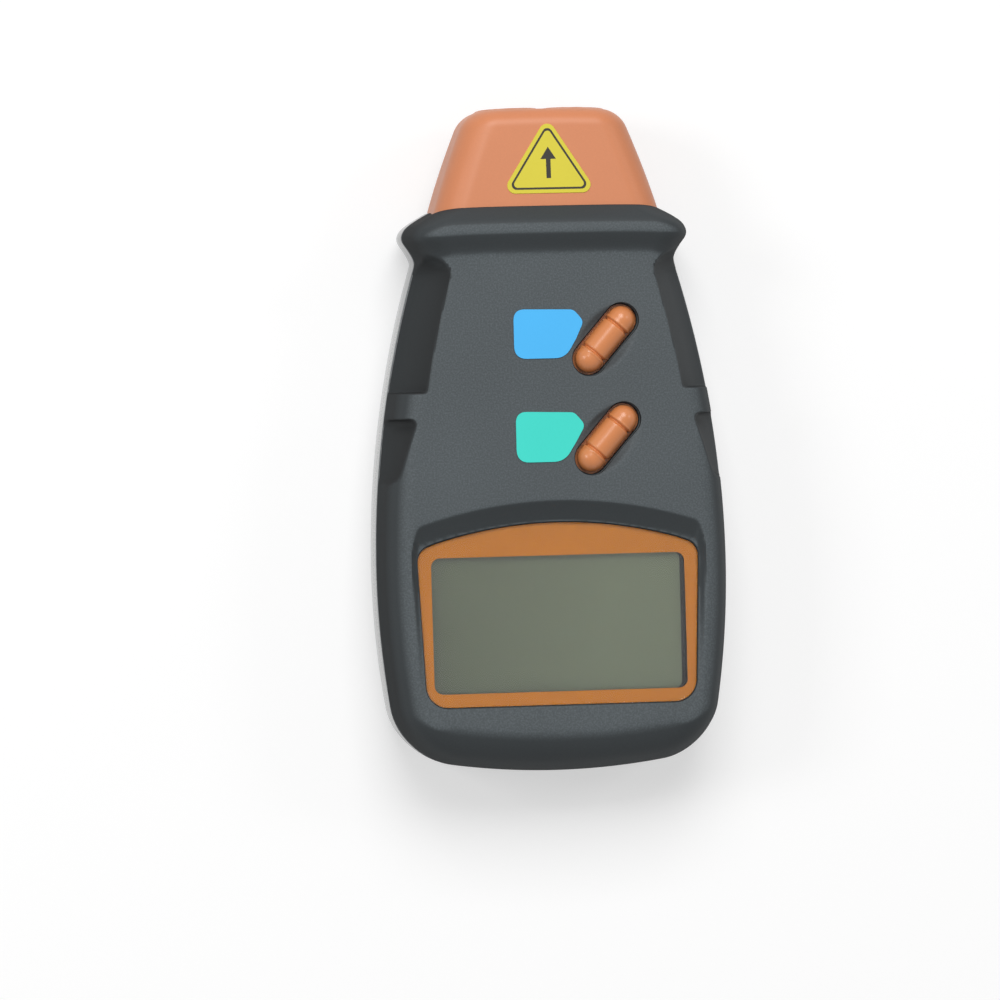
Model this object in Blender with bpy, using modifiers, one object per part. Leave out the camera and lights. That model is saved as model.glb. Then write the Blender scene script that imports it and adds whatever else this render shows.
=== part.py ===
"""Hand-held laser tachometer, made as its real pieces.

It lies on its back with the display up: X to the right, Y towards the nose, Z up.
The origin is under the middle of the object, on the plane that its back rests on.
All lengths are in metres.
"""

import math

import bmesh
import bpy
from mathutils import Matrix, Vector

# Clearances
GAP = 0.0003                 # between pieces that meet
FILM_GAP = 0.00005           # under a glued label or film, and at the display contacts
FIT = 0.00015                # round a piece that is pressed into a seat

# Case plan, from the mouth of the collar down to the lower end
MOUTH_TO_MEMORY = 0.0258     # mouth to the memory key
KEY_PITCH = 0.0195
TEST_TO_WINDOW = 0.0163      # test key to the top of the window
WINDOW_HEIGHT = 0.0358
CHIN = 0.0133                # below the window
NOSE_LENGTH = 0.0203         # the part of the nose that stands out of the mouth
WINDOW_WIDTH = 0.0558
SIDE_MARGIN = 0.0071         # each side of the window, where the case is widest
WAIST_TO_END = 0.0405        # widest place to the lower end
LOWER_BOW = 0.173            # radius of the sides below the widest place
END_CORNER = 0.0090
END_BOW = 0.0025             # how far the lower end bulges at its middle

# Case walls and heights
WALL = 0.0020
PARTING_HEIGHT = 0.0160
BELT_HEIGHT = 0.0110         # the sides are widest at this height
EDGE_RADIUS = 0.0055         # rounding between the face and the sides
BACK_RADIUS = 0.0048
EDGE_LEAN = 0.0010           # draft of each side, from the belt to the face
BACK_LEAN = 0.0004           # and from the belt to the back
CHIN_LENGTH = 0.0085         # the face rolls down over this length at the lower end
CHIN_DROP = 0.0100
HEEL = 0.0030                # rounding between the back and the lower end
LIP_HEIGHT = 0.0010          # the rear shell's lip that enters the front shell
FRONT_ROWS = 0.0075          # spacing of the sections that the front shell is lofted from
REAR_ROWS = 0.0100
ROOM_ROWS = 0.0090           # room in the front shell
LIP_ROWS = 0.0120            # lip, rebate and room in the rear shell
ROUND_SHARE = 0.9            # an edge is rounded over this share of its height at most

# Collar round the nose
NOSE_WIDTH = 0.0452          # at the mouth
NOSE_BACK = 0.0035           # height of the nose's underside at the mouth
NOSE_DEPTH = 0.0220          # thickness of the nose at the mouth
NECK_SHOULDER = 0.0033       # neck outside the nose
COLLAR_LENGTH = 0.0054       # widest edge of the collar to the mouth
FLARE_LENGTH = 0.0046        # neck to the widest edge
COLLAR_FLARE = 0.0026
FLARE_CURVE = 1.6            # exponent: the flare starts slowly
COLLAR_RISE = 0.0018         # collar above the face
RIM_WIDTH = 0.0023
RIM_DROP = 0.0008            # drop of the rim at the sides
RIM_FACE_DROP = 0.0002       # and on the face
MOUTH_EDGE = 0.0004
MOUTH_WALL = 0.0034
NECK_GROOVE = 0.0008         # depth of the groove across the back at the neck
GROOVE_LENGTH = 0.0060

# Sunken display panel and its window
BROW_DEPTH = 0.0018
BROW_SLOPE = 0.0044          # length of the sloping brow above the window
PANEL_TAIL = 0.0044          # window to the place where the panel meets the face
PANEL_SIDE = 0.0004          # panel floor outside the window
PANEL_SLOPE = 0.0013
PANEL_WALL = 0.0020
WINDOW_ARCH = 0.0048         # rise of the window's top edge
WINDOW_TAPER = 0.0013        # each side draws in by this much towards the bottom
WINDOW_CORNER = 0.0032
WINDOW_THICKNESS = 0.0010
FILM_THICKNESS = 0.0002
OPENING_CORNER = 0.0018
BORDER_SIDE = 0.0014         # orange border beside the opening, where it is narrowest
BORDER_ABOVE = 0.0064        # orange border over the opening, at its middle
BORDER_BELOW = 0.0026        # orange border under the opening

# Side grips
GRIP_RADIUS = 0.025          # hollow of the grips
GRIP_BAND = 0.0052           # raised band between the two hollows
GRIP_BAND_BELOW_MEMORY = 0.0149
LOWER_GRIP_LENGTH = 0.0140
LOWER_GRIP_CURVE = 4         # exponents: the lower hollow stays wide and then closes fast
LOWER_GRIP_CLOSE = 0.33
GRIP_FOOT = 0.0006           # hollows stop this far above the parting line
GRIP_FADE = 0.0056           # length over which the upper hollow runs out at the neck
GRIP_DEEP = 0.0044
GRIP_WALL_DRAW = 0.0045      # the inner wall leans in by this much behind the hollows

# Keys
KEY_X = 0.0102
KEY_ANGLE = math.radians(49.0)
KEY_RADIUS = 0.00275
KEY_LENGTH = 0.0154
KEY_PROUD = 0.00165          # top of the key above the face
KEY_CLEARANCE = 0.00040
KEY_TRAVEL = 0.0006
KEY_FLANGE = 0.0008          # thickness of the flange that keeps the key in
KEY_FLANGE_LEDGE = 0.0012
GROOVE_WIDTH = 0.0009
GROOVE_DEPTH = 0.00035
GROOVE_INSET = 0.0015        # groove from the centre of the key's round end
DISH_LENGTH = 0.0166
DISH_WIDTH = 0.0096
DISH_DEPTH = 0.0011

# Coloured fields beside the keys
FIELD_LENGTH = 0.0135
FIELD_HEIGHT = 0.0097
FIELD_TO_KEY = 0.0047        # tip of the field to the key's centre
FIELD_THICKNESS = 0.0002
FIELD_CORNER = 0.0013
FIELD_FOOT = 0.0049          # the lower edge ends this far before the tip
FIELD_BEND = (0.0017, 0.0032)       # bend of the slanted side: before the tip, above the lower edge
FIELD_TIP_DROP = 0.0024      # tip below the upper edge
FIELD_TIP_CUT = 0.0016       # the upper edge ends this far before the tip
MEMORY_FIELD_RISE = 0.0014   # middle of the field above the key's centre
TEST_FIELD_RISE = 0.0007

# Nose and optics
NOSE_SIDE_DRAW = 0.0076      # each side draws in by this much towards the tip
NOSE_FACE_DRAW = 0.0015
NOSE_RADIUS = 0.0060
NOSE_TIP_RADIUS = 0.0030
NOSE_WALL = 0.0018
NOSE_END_WALL = 0.0024
NOSE_FLANGE = 0.0006
NOSE_FLANGE_LENGTH = 0.0015
BEZEL_RISE = 0.0003
BEZEL_RADIUS = 0.0062
OPTICS_SPREAD = 0.00675      # each lens from the middle
LASER_HOLE = 0.0036          # radius
RECEIVER_HOLE = 0.0048       # radius
LENS_SEAT = 0.0008           # seat wider than the hole
LENS_THICKNESS = 0.0011
LENS_BULGE = 0.0010          # height of the receiver lens's dome
BARREL_RADIUS = 0.0044
BARREL_LENGTH = 0.0180
BARREL_CHAMFER = 0.0008
BARREL_TAIL = 0.0030         # thinner tail that takes the lead
HOLDER_THICKNESS = 0.0025
HOLDER_TO_LENS = 0.0096
HOLDER_TUBE_WALL = 0.0010
PHOTODIODE_RADIUS = 0.0025
PHOTODIODE_LENGTH = 0.0055
PHOTODIODE_DOME = 0.0018     # height of its rounded front
STICKER_WIDTH = 0.0160
STICKER_HEIGHT = 0.0131
STICKER_CORNER = 0.0016
STICKER_FROM_MOUTH = 0.0036

# Battery, its bay and its door
BATTERY_LENGTH = 0.0460
BATTERY_WIDTH = 0.0260
BATTERY_THICKNESS = 0.0160
BATTERY_CORNER = 0.0020
TERMINAL_HEIGHT = 0.0026
TERMINAL_RADIUS = 0.0030
TERMINAL_SPREAD = 0.00635
SNAP_THICKNESS = 0.0042
BAY_WALL = 0.0012
BAY_CLEARANCE = 0.0006
BAY_FROM_END = 0.0046        # lower end of the case to the bay
BAY_ROOM = 0.0018            # behind the snap connector, for the leads
DOOR_THICKNESS = 0.0018
DOOR_MARGIN = 0.0012         # door plate wider than the bay, each side
DOOR_TONGUE = 0.0013
DOOR_TONGUE_THICKNESS = 0.0006
DOOR_RIDGES = 5
DOOR_RIDGE_PITCH = 0.0022
DOOR_RIDGE_WIDTH = 0.0010
DOOR_RIDGE_DEPTH = 0.0005
DOOR_RIDGE_LENGTH = 0.0160
DOOR_RIDGES_FROM_END = 0.0120
LEAD_RADIUS = 0.00065
LEAD_SLOT = 0.0060           # half of the slot that the battery leads pass through

# Board, display stack and what is on the board
BOARD_THICKNESS = 0.0012
BOARD_TOP_FROM_MOUTH = 0.0212
BOARD_BELOW_WINDOW = 0.0002
BOARD_EDGE = 0.0008
BAY_ROOF = 0.0010
CONTACT_HEIGHT = 0.0007
CONTACT_WIDTH = 0.0020
GLASS_THICKNESS = 0.0016
GLASS_LAP = 0.0012           # glass runs this far beyond the opening
GLASS_SHORT = 0.0018         # on the right the glass stops this far inside the opening
FRAME_LAP = 0.0024
GLASS_TO_FILM = 0.0008
SWITCH_SIZE = 0.0062
SWITCH_HEIGHT = 0.0019
SWITCH_FLOOR = 0.0002
PLUNGER_RADIUS = 0.0015
CHIP_SIZE = 0.0100
CHIP_HEIGHT = 0.0014
CHIP_BEVEL = 0.0003
CHIP_PLACE = (-0.0090, 0.0060)      # X, and Y from the test key
CRYSTAL_SIZE = (0.0105, 0.0042, 0.0032)
CRYSTAL_PLACE = (-0.0090, -0.0045)
CAPACITOR_RADIUS = 0.0025
CAPACITOR_HEIGHT = 0.0065
CAPACITOR_CRIMP = 0.0013     # board to the middle of the crimp
CRIMP_DEPTH = 0.00025
CRIMP_HALF = 0.0005          # half of the crimp's length
CAPACITOR_PLACE = (0.0, 0.0140)

# Screws
CASE_SCREW_RADIUS = 0.0013
CASE_SCREW_HEAD = 0.0025     # radius
CASE_SCREW_HEAD_HEIGHT = 0.0018
CASE_SCREW_LENGTH = 0.0140
CASE_SCREW_DEPTH = 0.0042    # head seat above the back
POST_WALL = 0.0012
UPPER_POST_INSET = 0.0074    # outside of the neck to the screw
UPPER_POST_FROM_MOUTH = 0.0162
LOWER_POST_INSET = 0.0095    # outside of the case at its widest to the screw
LOWER_POST_FROM_END = 0.0100
BOARD_SCREW_RADIUS = 0.0009
BOARD_SCREW_HEAD = 0.0018    # radius
BOARD_SCREW_HEAD_HEIGHT = 0.0012
BOARD_SCREW_GRIP = 0.0024    # how far a board screw enters its post
HEAD_FLAT = 0.75             # flat end of a screw head, as a share of its radius
HEAD_SIDE = 0.6              # share of the head's height that is straight
CROSS_ARM = 0.6              # arm of the cross recess, as a share of the head's radius
CROSS_BLADE = 0.14           # half of the arm's width, as a share of the head's radius
CROSS_DEPTH = 0.6            # as a share of the head's height
BOARD_POST_INSET = 0.0036    # edge of the board to the screw
BOARD_POSTS = (0.0121, -0.0149)     # Y from the test key

# Places worked out from the sizes above
CASE_LENGTH = MOUTH_TO_MEMORY + KEY_PITCH + TEST_TO_WINDOW + WINDOW_HEIGHT + CHIN
LOWER_END = -(CASE_LENGTH + NOSE_LENGTH) / 2
MOUTH_Y = LOWER_END + CASE_LENGTH
NOSE_TIP = MOUTH_Y + NOSE_LENGTH
MEMORY_Y = MOUTH_Y - MOUTH_TO_MEMORY
TEST_Y = MEMORY_Y - KEY_PITCH
WINDOW_TOP_Y = TEST_Y - TEST_TO_WINDOW
WINDOW_BOTTOM_Y = WINDOW_TOP_Y - WINDOW_HEIGHT
PANEL_END_Y = WINDOW_BOTTOM_Y - PANEL_TAIL
WAIST_Y = LOWER_END + WAIST_TO_END
COLLAR_Y = MOUTH_Y - COLLAR_LENGTH
RIM_Y = COLLAR_Y + RIM_WIDTH
NECK_Y = COLLAR_Y - FLARE_LENGTH
CORNER_END = LOWER_END + END_BOW

HALF_WIDTH = WINDOW_WIDTH / 2 + SIDE_MARGIN
NOSE_HALF = NOSE_WIDTH / 2
NECK_HALF = NOSE_HALF + NECK_SHOULDER
MOUTH_HALF = NOSE_HALF + GAP
UPPER_BOW = (NECK_Y - WAIST_Y) ** 2 / (2 * (HALF_WIDTH - NECK_HALF))
NECK_SLOPE = (NECK_Y - WAIST_Y) / UPPER_BOW
NOSE_FRONT = NOSE_BACK + NOSE_DEPTH
LENS_HEIGHT = NOSE_BACK + NOSE_DEPTH / 2
LENS_Y = NOSE_TIP - BEZEL_RISE - NOSE_END_WALL        # back of both lenses

BATTERY_BASE = DOOR_THICKNESS + GAP
BAY_CEILING = BATTERY_BASE + BATTERY_THICKNESS + GAP
BOARD_BASE = BAY_CEILING + BAY_ROOF + GAP
BOARD_TOP = BOARD_BASE + BOARD_THICKNESS
GLASS_BASE = BOARD_TOP + CONTACT_HEIGHT + 2 * FILM_GAP
GLASS_TOP = GLASS_BASE + GLASS_THICKNESS
SEAT_DEPTH = WINDOW_THICKNESS + FILM_THICKNESS + 2 * FILM_GAP
PANEL_Z = GLASS_TOP + GLASS_TO_FILM + SEAT_DEPTH
FACE_Z = PANEL_Z + BROW_DEPTH
PANEL_RISE = BROW_DEPTH / (WINDOW_TOP_Y - PANEL_END_Y)
PANEL_TILT = math.atan(PANEL_RISE)

OPENING_HALF = WINDOW_WIDTH / 2 - WINDOW_TAPER - BORDER_SIDE
OPENING_BOTTOM_Y = WINDOW_BOTTOM_Y + BORDER_BELOW
OPENING_TOP_Y = WINDOW_TOP_Y - BORDER_ABOVE
KEY_Z = FACE_Z + KEY_PROUD - KEY_RADIUS
FLANGE_TOP = FACE_Z - WALL - GAP
FLANGE_BASE = FLANGE_TOP - KEY_FLANGE
BAND_TOP_Y = MEMORY_Y - GRIP_BAND_BELOW_MEMORY + GRIP_BAND
BAND_END_Y = BAND_TOP_Y - GRIP_BAND

BAY_HALF = BATTERY_WIDTH / 2 + BAY_CLEARANCE
BAY_START = LOWER_END + BAY_FROM_END
BATTERY_START = BAY_START + GAP
BATTERY_END = BATTERY_START + BATTERY_LENGTH
SNAP_START = BATTERY_END + GAP
SNAP_END = SNAP_START + SNAP_THICKNESS
BAY_END = SNAP_END + BAY_ROOM
DOOR_HALF = BAY_HALF + DOOR_MARGIN
DOOR_END = BAY_END + DOOR_MARGIN
BATTERY_MIDDLE = BATTERY_BASE + BATTERY_THICKNESS / 2

POST_JOINT = CASE_SCREW_DEPTH + CASE_SCREW_LENGTH / 2
CASE_SCREW_HOLE = CASE_SCREW_RADIUS + GAP
BOARD_SCREW_HOLE = BOARD_SCREW_RADIUS + GAP

FAR = 0.02                   # cutters run this far past what they cut


# Scene, collections and finishes
for old in list(bpy.data.objects):
    bpy.data.objects.remove(old, do_unlink=True)

PARTS = bpy.data.collections.new("laser_tachometer")
CUTTERS = bpy.data.collections.new("cutters")
bpy.context.scene.collection.children.link(PARTS)
bpy.context.scene.collection.children.link(CUTTERS)


def finish(name, colour, roughness, metallic=0.0, transmission=0.0):
    """A Principled material; colour is linear red, green and blue."""
    material = bpy.data.materials.new(name)
    material.use_nodes = True
    shader = material.node_tree.nodes["Principled BSDF"]
    shader.inputs["Base Color"].default_value = (*colour, 1.0)
    shader.inputs["Roughness"].default_value = roughness
    shader.inputs["Metallic"].default_value = metallic
    shader.inputs["Transmission Weight"].default_value = transmission
    return material


GRAPHITE_ABS = finish("graphite_abs", (0.10, 0.12, 0.125), 0.55)
REAR_ABS = finish("rear_abs", (0.09, 0.105, 0.11), 0.55)
ORANGE_ABS = finish("orange_abs", (0.70, 0.28, 0.12), 0.40)
KEY_PLASTIC = finish("key_plastic", (0.64, 0.25, 0.10), 0.40)
YELLOW_VINYL = finish("yellow_vinyl", (0.86, 0.75, 0.03), 0.35)
BLUE_PRINT = finish("blue_print", (0.09, 0.50, 0.96), 0.45)
GREEN_PRINT = finish("green_print", (0.06, 0.70, 0.60), 0.45)
CLEAR_ACRYLIC = finish("clear_acrylic", (0.95, 0.95, 0.95), 0.05, transmission=1.0)
ORANGE_PRINT = finish("orange_print", (0.50, 0.19, 0.04), 0.40)
DISPLAY_GLASS = finish("display_glass", (0.18, 0.20, 0.14), 0.20)
DARK_PLASTIC = finish("dark_plastic", (0.03, 0.03, 0.03), 0.50)
CONTACT_RUBBER = finish("contact_rubber", (0.35, 0.33, 0.30), 0.70)
BOARD_GREEN = finish("board_laminate", (0.03, 0.16, 0.07), 0.45)
CHIP_BLACK = finish("chip_resin", (0.02, 0.02, 0.02), 0.45)
STEEL = finish("plated_steel", (0.62, 0.62, 0.62), 0.30, metallic=1.0)
BRASS = finish("brass", (0.78, 0.57, 0.22), 0.30, metallic=1.0)
SLEEVE_BLUE = finish("capacitor_sleeve", (0.03, 0.05, 0.20), 0.40)
BATTERY_FOIL = finish("battery_jacket", (0.20, 0.21, 0.22), 0.35, metallic=0.6)
RED_WIRE = finish("red_wire", (0.60, 0.03, 0.02), 0.50)
BLACK_WIRE = finish("black_wire", (0.02, 0.02, 0.02), 0.50)


# Making solids
def to_object(name, bm, material=None, collection=PARTS, location=(0, 0, 0), turn=0.0):
    """Turn a bmesh into an object in a collection, with its faces pointing outwards."""
    bmesh.ops.recalc_face_normals(bm, faces=bm.faces)
    mesh = bpy.data.meshes.new(name)
    bm.to_mesh(mesh)
    bm.free()
    if material:
        mesh.materials.append(material)
    piece = bpy.data.objects.new(name, mesh)
    piece.location = location
    piece.rotation_euler = (0, 0, turn)
    collection.objects.link(piece)
    if collection is CUTTERS:
        piece.hide_render = True
        piece.display_type = "WIRE"
    return piece


def combine(piece, other, operation="DIFFERENCE"):
    """Cut, join or intersect a piece with a helper solid by an exact Boolean."""
    modifier = piece.modifiers.new(other.name, "BOOLEAN")
    modifier.operation = operation
    modifier.solver = "EXACT"
    modifier.object = other


def cutter(name, bm, location=(0, 0, 0), turn=0.0):
    return to_object(name, bm, collection=CUTTERS, location=location, turn=turn)


def box(low, high):
    """Box between two corners."""
    size = [b - a for a, b in zip(low, high)]
    middle = [(a + b) / 2 for a, b in zip(low, high)]
    bm = bmesh.new()
    matrix = Matrix.Translation(middle) @ Matrix.Diagonal((*size, 1.0))
    bmesh.ops.create_cube(bm, size=1.0, matrix=matrix)
    return bm


def cylinder(x, y, low, high, radius, segments=16):
    """Upright cylinder from height low to height high."""
    bm = bmesh.new()
    matrix = Matrix.Translation((x, y, (low + high) / 2))
    bmesh.ops.create_cone(bm, cap_ends=True, segments=segments, radius1=radius, radius2=radius,
                          depth=high - low, matrix=matrix)
    return bm


def rod(x, z, near, far, radius, segments=24):
    """Cylinder along Y from near to far."""
    bm = bmesh.new()
    matrix = Matrix.Translation((x, (near + far) / 2, z)) @ Matrix.Rotation(math.pi / 2, 4, "X")
    bmesh.ops.create_cone(bm, cap_ends=True, segments=segments, radius1=radius, radius2=radius,
                          depth=far - near, matrix=matrix)
    return bm


def prism(outline, low, high):
    """Flat outline of (x, y) points raised from height low to height high."""
    bm = bmesh.new()
    base = bm.faces.new([bm.verts.new((x, y, low)) for x, y in outline])
    raised = bmesh.ops.extrude_face_region(bm, geom=[base])["geom"]
    tops = [item for item in raised if isinstance(item, bmesh.types.BMVert)]
    bmesh.ops.translate(bm, verts=tops, vec=(0, 0, high - low))
    return bm


def arc(cx, cy, radius, start, end, steps):
    """Points on an arc, angles in degrees."""
    angles = [math.radians(start + (end - start) * i / steps) for i in range(steps + 1)]
    return [(cx + radius * math.cos(a), cy + radius * math.sin(a)) for a in angles]


def round_corners(points, radii, steps=5):
    """Outline with each corner replaced by an arc; 0 keeps the point, and short edges limit the arc."""
    outline = []
    for i, (corner, radius) in enumerate(zip(points, radii)):
        if not radius:
            outline.append(corner)
            continue
        here = Vector(corner)
        back = Vector(points[i - 1]) - here
        ahead = Vector(points[(i + 1) % len(points)]) - here
        half_angle = back.angle(ahead) / 2
        shares = [0.49 if radii[k % len(points)] else 0.9 for k in (i - 1, i + 1)]
        reach = min(radius / math.tan(half_angle), shares[0] * back.length, shares[1] * ahead.length)
        back.normalize()
        ahead.normalize()
        middle = here + (back + ahead).normalized() * (reach / math.cos(half_angle))
        start = here + back * reach - middle
        end = here + ahead * reach - middle
        swing = start.angle_signed(end)
        for k in range(steps + 1):
            turned = start.copy()
            turned.rotate(Matrix.Rotation(-swing * k / steps, 2))
            outline.append(tuple(middle + turned))
    return outline


def rectangle(left, bottom, right, top, radius=0.0, steps=4):
    corners = [(left, bottom), (right, bottom), (right, top), (left, top)]
    return round_corners(corners, [radius] * 4, steps)


def capsule(length, width, steps=8):
    """Round-ended outline along X, centred on the origin."""
    reach = (length - width) / 2
    radius = width / 2
    return arc(reach, 0, radius, -90, 90, steps) + arc(-reach, 0, radius, 90, 270, steps)


def loft(rings):
    """Closed solid through rings that start at the right and are half way round at the left."""
    bm = bmesh.new()
    rows = [[bm.verts.new(point) for point in ring] for ring in rings]
    count = len(rings[0])
    for low, high in zip(rows, rows[1:]):
        for i in range(count):
            j = (i + 1) % count
            bm.faces.new((low[i], low[j], high[j], high[i]))
    for row in (rows[0], rows[-1]):
        bm.faces.new((row[0], row[1], row[-1]))
        for i in range(1, count // 2 - 1):
            bm.faces.new((row[i], row[i + 1], row[count - i - 1], row[count - i]))
        middle = count // 2
        bm.faces.new((row[middle - 1], row[middle], row[middle + 1]))
    return bm


def turned(name, profile, material, steps=24, collection=PARTS):
    """Turned piece about Z: the profile (radius, height) runs from its top to its bottom."""
    mesh = bpy.data.meshes.new(name)
    points = [(radius, 0, height) for radius, height in profile]
    mesh.from_pydata(points, [(i, i + 1) for i in range(len(points) - 1)], [])
    if material:
        mesh.materials.append(material)
    piece = bpy.data.objects.new(name, mesh)
    collection.objects.link(piece)
    if collection is CUTTERS:
        piece.hide_render = True
        piece.display_type = "WIRE"
    screw = piece.modifiers.new("turn", "SCREW")
    screw.steps = steps
    screw.render_steps = steps
    screw.use_merge_vertices = True
    screw.merge_threshold = 0.00001
    return piece


def keep_side(bm, height, above):
    """Cut a solid at a height, keep one side of it and close the cut."""
    cut = bmesh.ops.bisect_plane(bm, geom=bm.verts[:] + bm.edges[:] + bm.faces[:], dist=1e-7,
                                 plane_co=(0, 0, height), plane_no=(0, 0, 1),
                                 clear_inner=above, clear_outer=not above)
    edges = [item for item in cut["geom_cut"] if isinstance(item, bmesh.types.BMEdge)]
    bmesh.ops.contextual_create(bm, geom=edges)
    return bm


# Case form
def lerp(a, b, t):
    return a + (b - a) * t


def ramp(value, start, end):
    """0 at start, 1 at end, smooth between."""
    t = min(max((value - start) / (end - start), 0.0), 1.0)
    return t * t * (3 - 2 * t)


def quarter(t):
    """Drop of a quarter round, from 0 at t = 0 to 1 at t = 1."""
    return 1 - math.sqrt(max(0.0, 1 - min(max(t, 0.0), 1.0) ** 2))


def side_half(y):
    """Half of the outer width at y, without the corners of the lower end."""
    if y <= NECK_Y:
        bow = UPPER_BOW if y > WAIST_Y else LOWER_BOW
        return HALF_WIDTH - (y - WAIST_Y) ** 2 / (2 * bow)
    tip = NECK_HALF + COLLAR_FLARE
    if y <= COLLAR_Y:
        t = (y - NECK_Y) / FLARE_LENGTH
        return NECK_HALF + COLLAR_FLARE * t ** FLARE_CURVE - NECK_SLOPE * (y - NECK_Y) * (1 - t) ** 2
    if y <= RIM_Y:
        return tip - RIM_DROP * ((y - COLLAR_Y) / RIM_WIDTH) ** 2
    return lerp(tip - RIM_DROP, MOUTH_HALF + MOUTH_EDGE, (y - RIM_Y) / (MOUTH_Y - RIM_Y))


def front_height(y):
    """Height of the outer face at y, without the roll at the lower end."""
    if y <= NECK_Y:
        return FACE_Z
    if y <= COLLAR_Y:
        return FACE_Z + COLLAR_RISE * ((y - NECK_Y) / FLARE_LENGTH) ** 2
    rim = FACE_Z + COLLAR_RISE
    if y <= RIM_Y:
        return rim - RIM_FACE_DROP * (y - COLLAR_Y) / RIM_WIDTH
    return lerp(rim - RIM_FACE_DROP, NOSE_FRONT + GAP + MOUTH_EDGE, (y - RIM_Y) / (MOUTH_Y - RIM_Y))


def back_height(y):
    """Height of the back: flat, with a shallow groove at the neck and a rising edge at the mouth."""
    if y <= COLLAR_Y:
        rise = ramp(y, NECK_Y - GROOVE_LENGTH, NECK_Y) * (1 - ramp(y, NECK_Y, COLLAR_Y))
        return NECK_GROOVE * rise
    if y <= RIM_Y:
        return 0.0
    return lerp(0.0, NOSE_BACK - GAP - MOUTH_EDGE, (y - RIM_Y) / (MOUTH_Y - RIM_Y))


def ceiling(y):
    """Height of the inner face of the front shell, lower under the sunken panel."""
    flat = front_height(y) - WALL
    start = WINDOW_TOP_Y + BROW_SLOPE + WALL
    under = PANEL_Z + PANEL_RISE * (WINDOW_TOP_Y - y) - PANEL_WALL
    if y > WINDOW_TOP_Y + WALL:
        step = ramp(y, WINDOW_TOP_Y + WALL, start)
        return lerp(min(under, flat), flat, step)
    return min(under, flat)


def section(half, low, high, low_radius, high_radius, lean, split, steps, flats):
    """Ring of (x, z): right, over the front, left, and back under the rear."""
    def run(edge, radius, height, sign):
        right = [(edge - radius + radius * math.cos(a), height + sign * radius * (math.sin(a) - 1))
                 for a in [math.pi / 2 * i / steps for i in range(steps + 1)]]
        inner = [((edge - radius) * (1 - 2 * k / (flats + 1)), height) for k in range(1, flats + 1)]
        return right + inner + [(-x, z) for x, z in reversed(right)]
    front = run(half - lean, high_radius, high, 1)
    rear = run(half - BACK_LEAN, low_radius, low, -1)
    return [(half, split)] + front + [(-half, split)] + list(reversed(rear))


def case_ring(y, inset, lean, steps):
    """Ring of the case at y, set in by a wall; the lower end is rounded and bowed."""
    corner = END_CORNER - inset
    corner_t = (CORNER_END + END_CORNER - y) / corner
    half = side_half(y) - inset - corner * quarter(corner_t)
    roll_t = (CORNER_END + CHIN_LENGTH - y) / (CHIN_LENGTH - inset)
    heel = HEEL - inset / 2
    heel_t = (CORNER_END + inset + heel - y) / heel
    high = front_height(y) - inset
    if inset >= WALL:
        high = min(high, ceiling(y))
    high -= (CHIN_DROP - inset) * quarter(roll_t)
    low = back_height(y) + inset + heel * quarter(heel_t)
    mouth = ramp(y, NECK_Y, RIM_Y)
    high_radius = min(lerp(EDGE_RADIUS, NOSE_RADIUS, mouth) - inset / 2, ROUND_SHARE * (high - BELT_HEIGHT))
    low_radius = min(lerp(BACK_RADIUS, NOSE_RADIUS, mouth) - inset / 2, ROUND_SHARE * (BELT_HEIGHT - low))
    ring = section(half, low, high, low_radius, high_radius, lean(y), BELT_HEIGHT, steps, 5)
    bow_half = HALF_WIDTH - END_CORNER
    weight = 1 - ramp(y, CORNER_END + END_CORNER, CORNER_END + 2 * END_CORNER)
    return [(x, y - END_BOW * weight * (1 - (x / bow_half) ** 2), z) for x, z in ring]


def case_solid(inset, end_y, lean, steps, spacing):
    """The whole case as one solid, set in by a wall and ending at end_y."""
    corner = END_CORNER - inset
    start = CORNER_END + END_CORNER
    rows = [start - corner * math.sin(math.radians(a)) for a in (90, 78, 66, 54, 42, 30, 18)]
    stops = [start, WINDOW_TOP_Y, WINDOW_TOP_Y + WALL, WINDOW_TOP_Y + WALL + BROW_SLOPE,
             NECK_Y - GROOVE_LENGTH, NECK_Y]
    for low, high in zip(stops, stops[1:]):
        count = max(1, math.ceil((high - low) / spacing))
        rows += [lerp(low, high, i / count) for i in range(count)]
    flare_rows = 6
    rows += [lerp(NECK_Y, COLLAR_Y, i / flare_rows) for i in range(flare_rows)]
    rows += [COLLAR_Y, lerp(COLLAR_Y, RIM_Y, 0.5), RIM_Y]
    rows = [y for y in rows if y < end_y - GAP] + [end_y]
    return loft([case_ring(y, inset, lean, steps) for y in rows])


def outer_lean(y):
    return EDGE_LEAN


def inner_lean(y):
    """The inner wall leans in behind the side grips."""
    tail = BAND_END_Y - LOWER_GRIP_LENGTH
    reach = ramp(y, tail - GRIP_BAND, tail + GRIP_BAND) * (1 - ramp(y, NECK_Y - GRIP_BAND, COLLAR_Y))
    return lerp(EDGE_LEAN, GRIP_WALL_DRAW, reach)


def inner_half(y, z):
    """Half of the room inside the case at y and height z above the belt."""
    radius = EDGE_RADIUS - WALL / 2
    start = ceiling(y) - radius
    rise = min(1.0, max(0.0, (z - BELT_HEIGHT) / (start - BELT_HEIGHT)))
    above = min(radius, max(0.0, z - start))
    return side_half(y) - WALL - inner_lean(y) * rise - radius + math.sqrt(radius ** 2 - above ** 2)


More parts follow.
